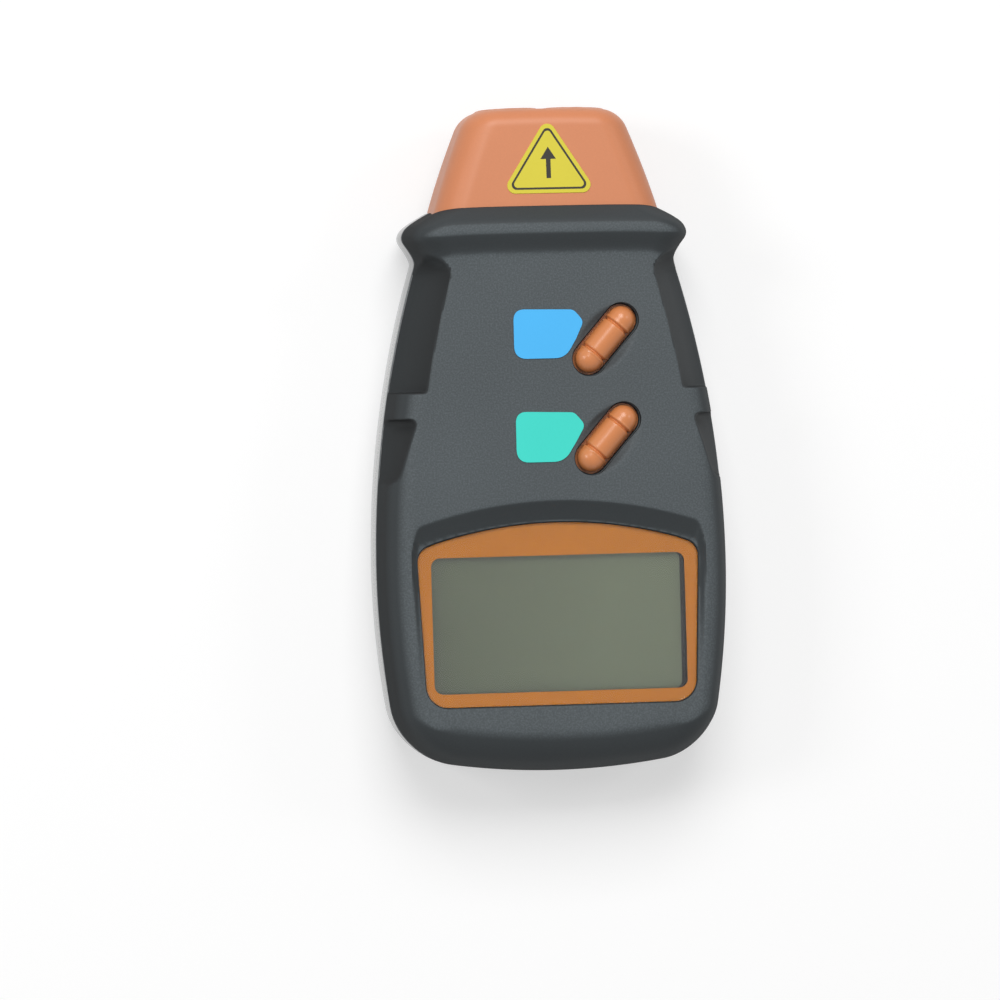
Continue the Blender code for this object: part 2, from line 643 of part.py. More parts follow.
def window_outline(grow=0.0, apex=0.0, below=0.0, corner=WINDOW_CORNER, foot=WINDOW_CORNER, arch_steps=10):
    """Window outline in its own plane: y is 0 at the top of its arch and runs down to minus its height."""
    top_half = WINDOW_WIDTH / 2 + grow
    low_half = top_half - WINDOW_TAPER
    arch_y = [apex - WINDOW_ARCH * (1 - 2 * i / arch_steps) ** 2 for i in range(arch_steps + 1)]
    arch = [(top_half * (1 - 2 * i / arch_steps), y) for i, y in enumerate(arch_y)]
    bottom = -WINDOW_HEIGHT - below
    points = [(-low_half, bottom), (low_half, bottom)] + arch
    radii = [foot, foot, corner] + [0.0] * (arch_steps - 1) + [corner]
    return round_corners(points, radii, 4)


def panel_matrix(height=0.0):
    """From the panel's own plane to the case; the panel rises towards the lower end."""
    return (Matrix.Translation((0, WINDOW_TOP_Y, PANEL_Z)) @ Matrix.Rotation(-PANEL_TILT, 4, "X")
            @ Matrix.Translation((0, 0, height)))


def tilted(bm):
    bmesh.ops.transform(bm, matrix=panel_matrix(), verts=bm.verts)
    return bm


def panel_recess():
    """Cutter for the sunken panel: it slopes from the face down to the tilted floor."""
    floor = window_outline(PANEL_SIDE, PANEL_SIDE, FAR, foot=0.0)
    rim = window_outline(PANEL_SIDE + PANEL_SLOPE, BROW_SLOPE, FAR, WINDOW_CORNER + PANEL_SLOPE, foot=0.0)
    low = [panel_matrix() @ Vector((x, y, 0)) for x, y in floor]
    edge = [Vector((x, WINDOW_TOP_Y + y, max(FACE_Z, base.z) + FILM_GAP)) for (x, y), base in zip(rim, low)]
    top = [Vector((point.x, point.y, FACE_Z + 2 * WALL)) for point in edge]
    bm = bmesh.new()
    rows = [[bm.verts.new(point) for point in ring] for ring in (low, edge, top)]
    for inner, outer in zip(rows, rows[1:]):
        for i in range(len(inner)):
            bm.faces.new((inner[i - 1], inner[i], outer[i], outer[i - 1]))
    bm.faces.new(rows[0])
    bm.faces.new(rows[-1])
    return bm


def shoulder_point(y, share):
    """Point of the front shell's side at y: 0 is at the foot of the grips, 1 where the face starts."""
    half = side_half(y)
    high = front_height(y)
    edge = Vector((half - EDGE_LEAN, high - EDGE_RADIUS))
    belt = Vector((half, BELT_HEIGHT))
    foot = belt.lerp(edge, (PARTING_HEIGHT + GRIP_FOOT - BELT_HEIGHT) / (edge.y - BELT_HEIGHT))
    straight = (edge - foot).length
    run = share * (straight + EDGE_RADIUS * math.pi / 2)
    if run <= straight:
        return foot.lerp(edge, run / straight)
    angle = (run - straight) / EDGE_RADIUS
    return edge + Vector((math.cos(angle) - 1, math.sin(angle))) * EDGE_RADIUS


def grip_ring(y, share, clear, steps=5):
    """Section of a grip's cutter at y: hollow side towards the case, moved out by clear."""
    foot = shoulder_point(y, 0.0)
    top = shoulder_point(y, share)
    chord = top - foot
    outward = Vector((chord.y, -chord.x)).normalized()
    reach = math.asin(min(1.0, chord.length / 2 / GRIP_RADIUS)) + GRIP_BAND / 2 / GRIP_RADIUS
    centre = (foot + top) / 2 + outward * (math.sqrt(GRIP_RADIUS ** 2 - (chord.length / 2) ** 2) + clear)
    ring = []
    for i in range(steps + 1):
        angle = lerp(reach, -reach, i / steps)
        ray = -outward * GRIP_RADIUS
        ray.rotate(Matrix.Rotation(angle, 2))
        ring.append(centre + ray)
    ring += [ring[-1] + outward * EDGE_RADIUS, ring[0] + outward * EDGE_RADIUS]
    return [(point.x, y, point.y) for point in ring]


def grip_cutter(name, rows, side):
    """Grip hollow along the side; rows are (y, share of the side's height, distance moved out)."""
    rings = [grip_ring(y, share, clear) for y, share, clear in rows]
    bm = bmesh.new()
    verts = [[bm.verts.new((side * x, y, z)) for x, y, z in ring] for ring in rings]
    count = len(rings[0])
    for low, high in zip(verts, verts[1:]):
        for i in range(count):
            bm.faces.new((low[i - 1], low[i], high[i], high[i - 1]))
    bm.faces.new(verts[0])
    bm.faces.new(verts[-1])
    return cutter(name, bm)


def board_half(y):
    """Half of the board's width at y: inside the case wall, and no wider than the display frame."""
    return min(inner_half(y, BOARD_TOP) - BOARD_EDGE, OPENING_HALF + FRAME_LAP)


def post_places():
    """Middles of the four case screws."""
    upper = MOUTH_Y - UPPER_POST_FROM_MOUTH
    lower = LOWER_END + LOWER_POST_FROM_END
    middles = ((NECK_HALF - UPPER_POST_INSET, upper), (HALF_WIDTH - LOWER_POST_INSET, lower))
    return [(side * x, y) for x, y in middles for side in (-1, 1)]


def board_post_places():
    """Middles of the four board screws."""
    return [(side * (board_half(TEST_Y + y) - BOARD_POST_INSET), TEST_Y + y)
            for y in BOARD_POSTS for side in (-1, 1)]


def make_front_shell():
    """Upper half of the case, with the collar, sunken panel, key dishes and side grips."""
    lip_y = MOUTH_Y - MOUTH_WALL
    shell = to_object("front_shell", keep_side(case_solid(0.0, MOUTH_Y, outer_lean, 4, FRONT_ROWS),
                                               PARTING_HEIGHT + FILM_GAP, True), GRAPHITE_ABS)
    combine(shell, cutter("front_room", case_solid(WALL, lip_y, inner_lean, 2, ROOM_ROWS)))
    rebate = keep_side(case_solid(WALL / 2, lip_y + WALL / 2, outer_lean, 2, LIP_ROWS),
                       PARTING_HEIGHT + LIP_HEIGHT + GAP, False)
    combine(shell, cutter("front_rebate", rebate))
    for i, (x, y) in enumerate(post_places()):
        post = cylinder(x, y, POST_JOINT + GAP, ceiling(y) + WALL / 2, CASE_SCREW_HOLE + POST_WALL, 12)
        combine(shell, cutter(f"front_post_{i}", post), "UNION")
        hole = cylinder(x, y, PARTING_HEIGHT - FAR, CASE_SCREW_DEPTH + CASE_SCREW_LENGTH + GAP * 2,
                        CASE_SCREW_HOLE, 10)
        combine(shell, cutter(f"front_pilot_{i}", hole))
    for i, (x, y) in enumerate(board_post_places()):
        post = cylinder(x, y, BOARD_TOP + GAP, ceiling(y) + WALL / 2, BOARD_SCREW_HOLE + POST_WALL, 12)
        combine(shell, cutter(f"board_post_{i}", post), "UNION")
        hole = cylinder(x, y, BOARD_TOP - WALL, BOARD_TOP + BOARD_SCREW_GRIP + GAP * 2, BOARD_SCREW_HOLE, 8)
        combine(shell, cutter(f"board_pilot_{i}", hole))
    combine(shell, cutter("panel_recess", panel_recess()))
    seat = prism(window_outline(FIT, FIT, FIT), -SEAT_DEPTH, WALL * 2)
    combine(shell, cutter("window_seat", tilted(seat)))
    opening = rectangle(-OPENING_HALF, OPENING_BOTTOM_Y, OPENING_HALF, OPENING_TOP_Y, OPENING_CORNER)
    combine(shell, cutter("display_opening", prism(opening, GLASS_TOP - WALL, FACE_Z + WALL)))
    # A dish is an ellipsoid whose middle is as far above the face as the dish is deep, and whose half
    # height is twice that; at the face it is narrower than at its middle by this factor.
    narrowing = math.sqrt(1 - 0.5 ** 2)
    for name, y in (("memory", MEMORY_Y), ("test", TEST_Y)):
        dish = bmesh.new()
        bmesh.ops.create_uvsphere(dish, u_segments=22, v_segments=10, radius=1.0)
        size = (DISH_LENGTH / 2 / narrowing, DISH_WIDTH / 2 / narrowing, DISH_DEPTH * 2, 1.0)
        bmesh.ops.transform(dish, matrix=Matrix.Diagonal(size), verts=dish.verts)
        combine(shell, cutter(f"{name}_dish", dish, (KEY_X, y, FACE_Z + DISH_DEPTH), KEY_ANGLE))
        outline = capsule(KEY_LENGTH + 2 * KEY_CLEARANCE, 2 * (KEY_RADIUS + KEY_CLEARANCE))
        hole = prism(outline, -WALL * 2, WALL * 2)
        combine(shell, cutter(f"{name}_hole", hole, (KEY_X, y, FACE_Z), KEY_ANGLE))
    fade = [(lerp(NECK_Y - GRIP_FADE / 2, NECK_Y + GRIP_FADE / 2, i / 6), 1.0, GRIP_DEEP * ramp(i, 0, 6))
            for i in range(7)]
    straight = [(lerp(BAND_TOP_Y, fade[0][0], i / 4), 1.0, 0.0) for i in range(4)]
    tail = [(BAND_END_Y - LOWER_GRIP_LENGTH * t, (1 - t ** LOWER_GRIP_CURVE) ** LOWER_GRIP_CLOSE, 0.0)
            for t in (0.0, 0.4, 0.7, 0.86, 0.95, 0.99)]
    for side, word in ((-1, "left"), (1, "right")):
        combine(shell, grip_cutter(f"upper_grip_{word}", straight + fade, side))
        combine(shell, grip_cutter(f"lower_grip_{word}", tail, side))
    combine(shell, mouth_cutter("front_mouth"))
    return shell


def nose_ring(y, grow=0.0, inset=0.0):
    """Ring of the nose at y: it draws in towards the tip on all sides."""
    t = (y - MOUTH_Y) / NOSE_LENGTH
    half = NOSE_HALF - NOSE_SIDE_DRAW * t + grow - inset
    low = NOSE_BACK + NOSE_FACE_DRAW * t - grow + inset
    high = NOSE_FRONT - NOSE_FACE_DRAW * t + grow - inset
    radius = max(NOSE_RADIUS - inset, NOSE_WALL)
    ring = section(half, low, high, radius, radius, 0.0, (low + high) / 2, 5, 1)
    return [(x, y, z) for x, z in ring]


def mouth_cutter(name):
    """Hole through the collar for the nose."""
    near = MOUTH_Y - MOUTH_WALL - WALL
    return cutter(name, loft([nose_ring(near, GAP), nose_ring(MOUTH_Y + WALL, GAP)]))


def make_rear_shell():
    """Lower half of the case, with the lip, the battery bay, its rails and the screw posts."""
    lip_y = MOUTH_Y - MOUTH_WALL
    shell = to_object("rear_shell", keep_side(case_solid(0.0, MOUTH_Y, outer_lean, 4, REAR_ROWS),
                                              PARTING_HEIGHT, False), REAR_ABS)
    lip = keep_side(case_solid(WALL / 2 + FIT, lip_y + WALL / 2 - FIT, outer_lean, 2, LIP_ROWS),
                    PARTING_HEIGHT + LIP_HEIGHT, False)
    lip = keep_side(lip, PARTING_HEIGHT - WALL, True)
    combine(shell, cutter("rear_lip", lip), "UNION")
    combine(shell, cutter("rear_room", case_solid(WALL, lip_y, outer_lean, 2, LIP_ROWS)))
    bay_out = BAY_HALF + BAY_WALL
    tub = box((-bay_out, BAY_START - BAY_WALL, WALL / 2),
              (bay_out, BAY_END + BAY_WALL, BAY_CEILING + BAY_ROOF))
    combine(shell, cutter("bay_block", tub), "UNION")
    rail_out = DOOR_HALF + DOOR_TONGUE + GAP + BAY_WALL
    rail_top = DOOR_THICKNESS + GAP + BAY_WALL
    rail = box((-rail_out, BAY_START, WALL / 2), (rail_out, BAY_END + BAY_WALL * 3, rail_top))
    combine(shell, cutter("rail_block", rail), "UNION")
    for i, (x, y) in enumerate(post_places()):
        post = cylinder(x, y, WALL / 2, POST_JOINT, CASE_SCREW_HEAD + GAP + POST_WALL, 12)
        combine(shell, cutter(f"rear_post_{i}", post), "UNION")
        head_hole = CASE_SCREW_HEAD + GAP
        bore = turned(f"rear_bore_{i}", [
            (0, POST_JOINT + WALL), (CASE_SCREW_HOLE, POST_JOINT + WALL),
            (CASE_SCREW_HOLE, CASE_SCREW_DEPTH),
            (head_hole, CASE_SCREW_DEPTH), (head_hole, -FAR), (0, -FAR)], None, 14, CUTTERS)
        bore.location = (x, y, 0)
        combine(shell, bore)
    bay = box((-BAY_HALF, BAY_START, WALL / 4), (BAY_HALF, BAY_END, BAY_CEILING))
    combine(shell, cutter("bay", bay))
    slot = box((-LEAD_SLOT, BAY_END - WALL, BATTERY_MIDDLE),
               (LEAD_SLOT, BAY_END + BAY_WALL + WALL, BAY_CEILING - WALL))
    combine(shell, cutter("lead_slot", slot))
    gap_half = DOOR_HALF + GAP
    door_way = box((-gap_half, LOWER_END - FAR, -FAR), (gap_half, DOOR_END + GAP, DOOR_THICKNESS + GAP))
    combine(shell, cutter("door_way", door_way))
    tongue_half = gap_half + DOOR_TONGUE
    tongue_low = DOOR_THICKNESS - DOOR_TONGUE_THICKNESS - GAP
    tongue_way = box((-tongue_half, LOWER_END - FAR, tongue_low),
                     (tongue_half, DOOR_END + GAP, DOOR_THICKNESS + GAP))
    combine(shell, cutter("tongue_way", tongue_way))
    combine(shell, mouth_cutter("rear_mouth"))
    return shell


def make_battery_door():
    """Door that slides off the lower end on two tongues, with ridges for the thumb."""
    plate = box((-DOOR_HALF, LOWER_END - FAR, -FAR), (DOOR_HALF, DOOR_END, DOOR_THICKNESS))
    door = to_object("battery_door", plate, REAR_ABS)
    tongue_half = DOOR_HALF + DOOR_TONGUE
    tongues = box((-tongue_half, LOWER_END - FAR, DOOR_THICKNESS - DOOR_TONGUE_THICKNESS),
                  (tongue_half, DOOR_END, DOOR_THICKNESS))
    combine(door, cutter("door_tongues", tongues), "UNION")
    form = case_solid(0.0, MOUTH_Y, outer_lean, 4, REAR_ROWS)
    combine(door, cutter("door_form", form), "INTERSECT")
    for i in range(DOOR_RIDGES):
        y = LOWER_END + DOOR_RIDGES_FROM_END + i * DOOR_RIDGE_PITCH
        ridge = box((-DOOR_RIDGE_LENGTH / 2, y, -FAR),
                    (DOOR_RIDGE_LENGTH / 2, y + DOOR_RIDGE_WIDTH, DOOR_RIDGE_DEPTH))
        combine(door, cutter(f"door_ridge_{i}", ridge))
    return door


def make_nose():
    """Orange nose cap: hollow, closed at the tip, with two lens holes in raised bezels."""
    end = NOSE_TIP - BEZEL_RISE
    flange_start = MOUTH_Y - MOUTH_WALL - GAP - NOSE_FLANGE_LENGTH
    rings = [nose_ring(flange_start, NOSE_FLANGE),
             nose_ring(flange_start + NOSE_FLANGE_LENGTH, NOSE_FLANGE),
             nose_ring(flange_start + NOSE_FLANGE_LENGTH + FIT)]
    rings += [nose_ring(lerp(MOUTH_Y, end - NOSE_TIP_RADIUS, i / 3)) for i in range(3)]
    for i in range(6):
        angle = math.pi / 2 * i / 5
        y = end - NOSE_TIP_RADIUS * (1 - math.sin(angle))
        rings.append(nose_ring(y, inset=NOSE_TIP_RADIUS * (1 - math.cos(angle))))
    nose = to_object("nose_cap", loft(rings), ORANGE_ABS)
    for side in (-1, 1):
        bezel = rod(side * OPTICS_SPREAD, LENS_HEIGHT, end - NOSE_END_WALL / 2, NOSE_TIP, BEZEL_RADIUS, 32)
        combine(nose, cutter(f"bezel_{side + 1}", bezel), "UNION")
    room = loft([nose_ring(flange_start - WALL, inset=NOSE_WALL),
                 nose_ring(end - NOSE_END_WALL, inset=NOSE_WALL)])
    combine(nose, cutter("nose_room", room))
    for side, hole in ((-1, LASER_HOLE), (1, RECEIVER_HOLE)):
        x = side * OPTICS_SPREAD
        bore = rod(x, LENS_HEIGHT, LENS_Y - WALL, NOSE_TIP + FAR, hole, 24)
        combine(nose, cutter(f"lens_hole_{side + 1}", bore))
        seat_end = LENS_Y + LENS_THICKNESS + GAP
        seat = rod(x, LENS_HEIGHT, LENS_Y - WALL, seat_end, hole + LENS_SEAT, 24)
        combine(nose, cutter(f"lens_seat_{side + 1}", seat))
    return nose


def rounded_triangle(width, height, radius, steps=6):
    """Triangle standing on its base, with its corners rounded to a radius."""
    across = width / 2 - radius
    side = math.degrees(math.atan2(height - 2 * radius, across))
    right = arc(across, radius, radius, -90, 90 - side, steps)
    top = arc(0, height - radius, radius, 90 - side, 90 + side, steps)
    left = arc(-across, radius, radius, 90 + side, 270, steps)
    return right + top + left


def make_sticker():
    """Yellow triangular label on the sloping front of the nose."""
    outline = rounded_triangle(STICKER_WIDTH, STICKER_HEIGHT, STICKER_CORNER)
    bm = prism(outline, FILM_GAP, FILM_GAP + FIELD_THICKNESS)
    slope = -math.atan(NOSE_FACE_DRAW / NOSE_LENGTH)
    start = STICKER_FROM_MOUTH
    height = NOSE_FRONT - NOSE_FACE_DRAW * start / NOSE_LENGTH
    matrix = Matrix.Translation((0, MOUTH_Y + start, height)) @ Matrix.Rotation(slope, 4, "X")
    bmesh.ops.transform(bm, matrix=matrix, verts=bm.verts)
    return to_object("nose_sticker", bm, YELLOW_VINYL)


def make_optics():
    """Holder, laser barrel, window, receiver lens and photodiode inside the nose."""
    lens_x = OPTICS_SPREAD
    holder_y = LENS_Y - HOLDER_TO_LENS
    plate = loft([nose_ring(holder_y - HOLDER_THICKNESS, inset=NOSE_WALL + NOSE_FACE_DRAW),
                  nose_ring(holder_y, inset=NOSE_WALL + NOSE_FACE_DRAW)])
    holder = to_object("optics_holder", plate, DARK_PLASTIC)
    tube_out = RECEIVER_HOLE + LENS_SEAT - GAP
    tube = rod(lens_x, LENS_HEIGHT, holder_y - HOLDER_THICKNESS / 2, LENS_Y - GAP, tube_out, 20)
    combine(holder, cutter("holder_tube", tube), "UNION")
    bore = rod(lens_x, LENS_HEIGHT, holder_y, LENS_Y + WALL, tube_out - HOLDER_TUBE_WALL, 20)
    combine(holder, cutter("holder_bore", bore))
    diode_hole = rod(lens_x, LENS_HEIGHT, holder_y - FAR, holder_y + WALL, PHOTODIODE_RADIUS + GAP, 16)
    combine(holder, cutter("diode_hole", diode_hole))
    barrel_hole = rod(-lens_x, LENS_HEIGHT, holder_y - FAR, holder_y + FAR, BARREL_RADIUS + GAP, 20)
    combine(holder, cutter("barrel_hole", barrel_hole))

    barrel_end = LENS_Y - GAP
    narrow = BARREL_RADIUS - BARREL_CHAMFER
    tail = BARREL_TAIL - BARREL_LENGTH
    barrel = turned("laser_barrel", [
        (0, 0), (narrow, 0), (BARREL_RADIUS, -BARREL_CHAMFER), (BARREL_RADIUS, tail),
        (narrow, tail), (narrow, -BARREL_LENGTH), (0, -BARREL_LENGTH)], BRASS, 20)
    barrel.location = (-lens_x, barrel_end, LENS_HEIGHT)
    barrel.rotation_euler = (-math.pi / 2, 0, 0)

    seat = LASER_HOLE + LENS_SEAT - GAP
    disc = rod(-lens_x, LENS_HEIGHT, LENS_Y, LENS_Y + LENS_THICKNESS, seat, 24)
    to_object("laser_window", disc, CLEAR_ACRYLIC)
    rim = RECEIVER_HOLE + LENS_SEAT - GAP
    face = RECEIVER_HOLE - GAP
    dome = [(face * math.sin(a), LENS_THICKNESS + LENS_BULGE * math.cos(a))
            for a in [math.pi / 2 * i / 4 for i in range(5)]]
    lens = turned("receiver_lens", dome + [(rim, LENS_THICKNESS), (rim, 0), (0, 0)], CLEAR_ACRYLIC, 24)
    lens.location = (lens_x, LENS_Y, LENS_HEIGHT)
    lens.rotation_euler = (-math.pi / 2, 0, 0)

    diode_end = holder_y + GAP
    front = [(PHOTODIODE_RADIUS * math.sin(a), PHOTODIODE_DOME * (math.cos(a) - 1))
             for a in [math.pi / 2 * i / 3 for i in range(4)]]
    diode = turned("photodiode", front + [(PHOTODIODE_RADIUS, -PHOTODIODE_LENGTH), (0, -PHOTODIODE_LENGTH)],
                   DARK_PLASTIC, 16)
    diode.location = (lens_x, diode_end, LENS_HEIGHT)
    diode.rotation_euler = (-math.pi / 2, 0, 0)
    return barrel_end - BARREL_LENGTH, diode_end - PHOTODIODE_LENGTH


def lead(name, points, material, radius=LEAD_RADIUS):
    """Insulated wire through the points of a smooth curve."""
    path = [Vector(point) for point in points]
    ends = [2 * path[0] - path[1]] + path + [2 * path[-1] - path[-2]]
    smooth = []
    parts = 3
    for a, b, c, d in zip(ends, ends[1:], ends[2:], ends[3:]):
        for i in range(parts):
            t = i / parts
            smooth.append(0.5 * (2 * b + (c - a) * t + (2 * a - 5 * b + 4 * c - d) * t ** 2
                                 + (3 * b - a - 3 * c + d) * t ** 3))
    smooth.append(path[-1])
    curve = bpy.data.curves.new(name, "CURVE")
    curve.dimensions = "3D"
    curve.bevel_depth = radius
    curve.bevel_resolution = 2
    curve.use_fill_caps = True
    spline = curve.splines.new("POLY")
    spline.points.add(len(smooth) - 1)
    for point, place in zip(spline.points, smooth):
        point.co = (*place, 1.0)
    curve.materials.append(material)
    wire = bpy.data.objects.new(name, curve)
    PARTS.objects.link(wire)
    weld = wire.modifiers.new("caps", "WELD")
    weld.merge_threshold = 0.00001
    return wire


def make_display():
    """Window, printed border, glass, its frame and the two contact strips."""
    base = -SEAT_DEPTH + FILM_GAP
    border = tilted(prism(window_outline(), base, base + FILM_THICKNESS))
    film = to_object("window_border", border, ORANGE_PRINT)
    hole_top = (OPENING_TOP_Y - WINDOW_TOP_Y) / math.cos(PANEL_TILT)
    hole_bottom = (OPENING_BOTTOM_Y - WINDOW_TOP_Y) / math.cos(PANEL_TILT)
    hole = rectangle(-OPENING_HALF, hole_bottom, OPENING_HALF, hole_top, OPENING_CORNER)
    combine(film, cutter("border_hole", tilted(prism(hole, -WALL * 2, WALL * 2))))
    pane = tilted(prism(window_outline(), -WINDOW_THICKNESS, 0.0))
    to_object("display_window", pane, CLEAR_ACRYLIC)

    left = -OPENING_HALF - GLASS_LAP
    right = OPENING_HALF - GLASS_SHORT
    bottom = OPENING_BOTTOM_Y - GLASS_LAP
    top = OPENING_TOP_Y + GLASS_LAP
    to_object("display_glass", box((left, bottom, GLASS_BASE), (right, top, GLASS_TOP)), DISPLAY_GLASS)
    reach = OPENING_HALF + FRAME_LAP
    outline = rectangle(-reach, OPENING_BOTTOM_Y - FRAME_LAP, reach, OPENING_TOP_Y + FRAME_LAP,
                        FRAME_LAP / 2)
    frame = to_object("display_frame", prism(outline, BOARD_TOP + FILM_GAP, GLASS_TOP), DARK_PLASTIC)
    hollow = box((left - GAP, bottom - GAP, BOARD_TOP - WALL), (right + GAP, top + GAP, GLASS_TOP + WALL))
    combine(frame, cutter("frame_hollow", hollow))
    strip_low = BOARD_TOP + FILM_GAP
    for name, y in (("upper", top - CONTACT_WIDTH), ("lower", bottom)):
        strip = box((left + GAP, y, strip_low),
                    (right - GAP, y + CONTACT_WIDTH, strip_low + CONTACT_HEIGHT))
        to_object(f"contact_strip_{name}", strip, CONTACT_RUBBER)


def make_key(name, y, field_rise, field_finish):
    """Capsule key with two grooves, its switch with a moving plunger, and its coloured field."""
    middle = (KEY_X, y, KEY_Z)
    reach = KEY_LENGTH / 2 - KEY_RADIUS
    groove = reach - GROOVE_INSET
    half_groove = GROOVE_WIDTH / 2
    right = arc(reach, 0, KEY_RADIUS, 0, 90, 4) + [
        (groove + half_groove, KEY_RADIUS), (groove + half_groove / 2, KEY_RADIUS - GROOVE_DEPTH),
        (groove - half_groove / 2, KEY_RADIUS - GROOVE_DEPTH), (groove - half_groove, KEY_RADIUS)]
    profile = right + [(-x, radius) for x, radius in reversed(right)]
    pill = bmesh.new()
    verts = [pill.verts.new((x, 0, radius)) for x, radius in profile]
    edges = [pill.edges.new(pair) for pair in zip(verts, verts[1:])]
    bmesh.ops.spin(pill, geom=verts + edges, cent=(0, 0, 0), axis=(1, 0, 0), angle=2 * math.pi,
                   steps=18, use_merge=True)
    bmesh.ops.remove_doubles(pill, verts=pill.verts, dist=1e-6)
    keep_side(pill, -2 * GROOVE_DEPTH, True)
    key = to_object(f"{name}_button", pill, KEY_PLASTIC, location=middle, turn=KEY_ANGLE)
    stem_width = 2 * (KEY_RADIUS - FIT)
    stem_base = FLANGE_BASE - KEY_Z
    stem = prism(capsule(KEY_LENGTH - 2 * FIT, stem_width, 6), stem_base, -GROOVE_DEPTH)
    combine(key, cutter(f"{name}_stem", stem, middle, KEY_ANGLE), "UNION")
    flange = prism(capsule(KEY_LENGTH + 2 * KEY_FLANGE_LEDGE, stem_width + 2 * KEY_FLANGE_LEDGE, 6),
                   stem_base, stem_base + KEY_FLANGE)
    combine(key, cutter(f"{name}_flange", flange, middle, KEY_ANGLE), "UNION")

    base = BOARD_TOP + FILM_GAP
    top = base + SWITCH_HEIGHT
    half = SWITCH_SIZE / 2
    body = to_object(f"{name}_switch", box((-half, -half, base), (half, half, top)), CHIP_BLACK,
                     location=(KEY_X, y, 0))
    bore = cylinder(KEY_X, y, base + SWITCH_FLOOR, top + WALL, PLUNGER_RADIUS + GAP)
    combine(body, cutter(f"{name}_switch_bore", bore))
    plunger_low = base + SWITCH_FLOOR + KEY_TRAVEL + GAP
    plunger = cylinder(0, 0, plunger_low, FLANGE_BASE - FILM_GAP, PLUNGER_RADIUS)
    to_object(f"{name}_plunger", plunger, STEEL, location=(KEY_X, y, 0))

    tip = KEY_X - FIELD_TO_KEY
    left = tip - FIELD_LENGTH
    low = y + field_rise - FIELD_HEIGHT / 2
    high = low + FIELD_HEIGHT
    corners = [(left, low), (tip - FIELD_FOOT, low), (tip - FIELD_BEND[0], low + FIELD_BEND[1]),
               (tip, high - FIELD_TIP_DROP), (tip - FIELD_TIP_CUT, high), (left, high)]
    radii = [FIELD_CORNER, FIELD_CORNER, 2 * FIELD_CORNER, FIELD_CORNER / 3, FIELD_CORNER / 2, FIELD_CORNER]
    field = prism(round_corners(corners, radii), FACE_Z + FILM_GAP, FACE_Z + FILM_GAP + FIELD_THICKNESS)
    to_object(f"{name}_field", field, field_finish)


def make_board():
    """Main board with its chip, crystal and capacitor; its sides follow the room in the case."""
    top_y = MOUTH_Y - BOARD_TOP_FROM_MOUTH
    bottom_y = WINDOW_BOTTOM_Y + BOARD_BELOW_WINDOW
    rows = 8
    edge = []
    for i in range(rows + 1):
        y = lerp(bottom_y, top_y, i / rows)
        edge.append((board_half(y), y))
    outline = edge + [(-x, y) for x, y in reversed(edge)]
    board = to_object("main_board", prism(outline, BOARD_BASE, BOARD_TOP), BOARD_GREEN)
    for i, (x, y) in enumerate(board_post_places()):
        hole = cylinder(x, y, BOARD_BASE - WALL, BOARD_TOP + WALL, BOARD_SCREW_HOLE, 8)
        combine(board, cutter(f"board_hole_{i}", hole))
    base = BOARD_TOP + FILM_GAP
    x, y = CHIP_PLACE[0], TEST_Y + CHIP_PLACE[1]
    half = CHIP_SIZE / 2
    block = box((x - half, y - half, base), (x + half, y + half, base + CHIP_HEIGHT))
    chip = to_object("controller_chip", block, CHIP_BLACK)
    edge_bevel = chip.modifiers.new("edges", "BEVEL")
    edge_bevel.width = CHIP_BEVEL
    x, y = CRYSTAL_PLACE[0], TEST_Y + CRYSTAL_PLACE[1]
    length, width, height = CRYSTAL_SIZE
    can = prism([(px + x, py + y) for px, py in capsule(length, width, 6)], base, base + height)
    to_object("crystal", can, STEEL)
    x, y = CAPACITOR_PLACE[0], TEST_Y + CAPACITOR_PLACE[1]
    top = BOARD_BASE - FILM_GAP
    capacitor = turned("capacitor", [
        (0, 0), (CAPACITOR_RADIUS, 0), (CAPACITOR_RADIUS, CRIMP_HALF - CAPACITOR_CRIMP),
        (CAPACITOR_RADIUS - CRIMP_DEPTH, -CAPACITOR_CRIMP),
        (CAPACITOR_RADIUS, -CRIMP_HALF - CAPACITOR_CRIMP),
        (CAPACITOR_RADIUS, -CAPACITOR_HEIGHT), (0, -CAPACITOR_HEIGHT)], SLEEVE_BLUE, 20)
    capacitor.location = (x, y, top)


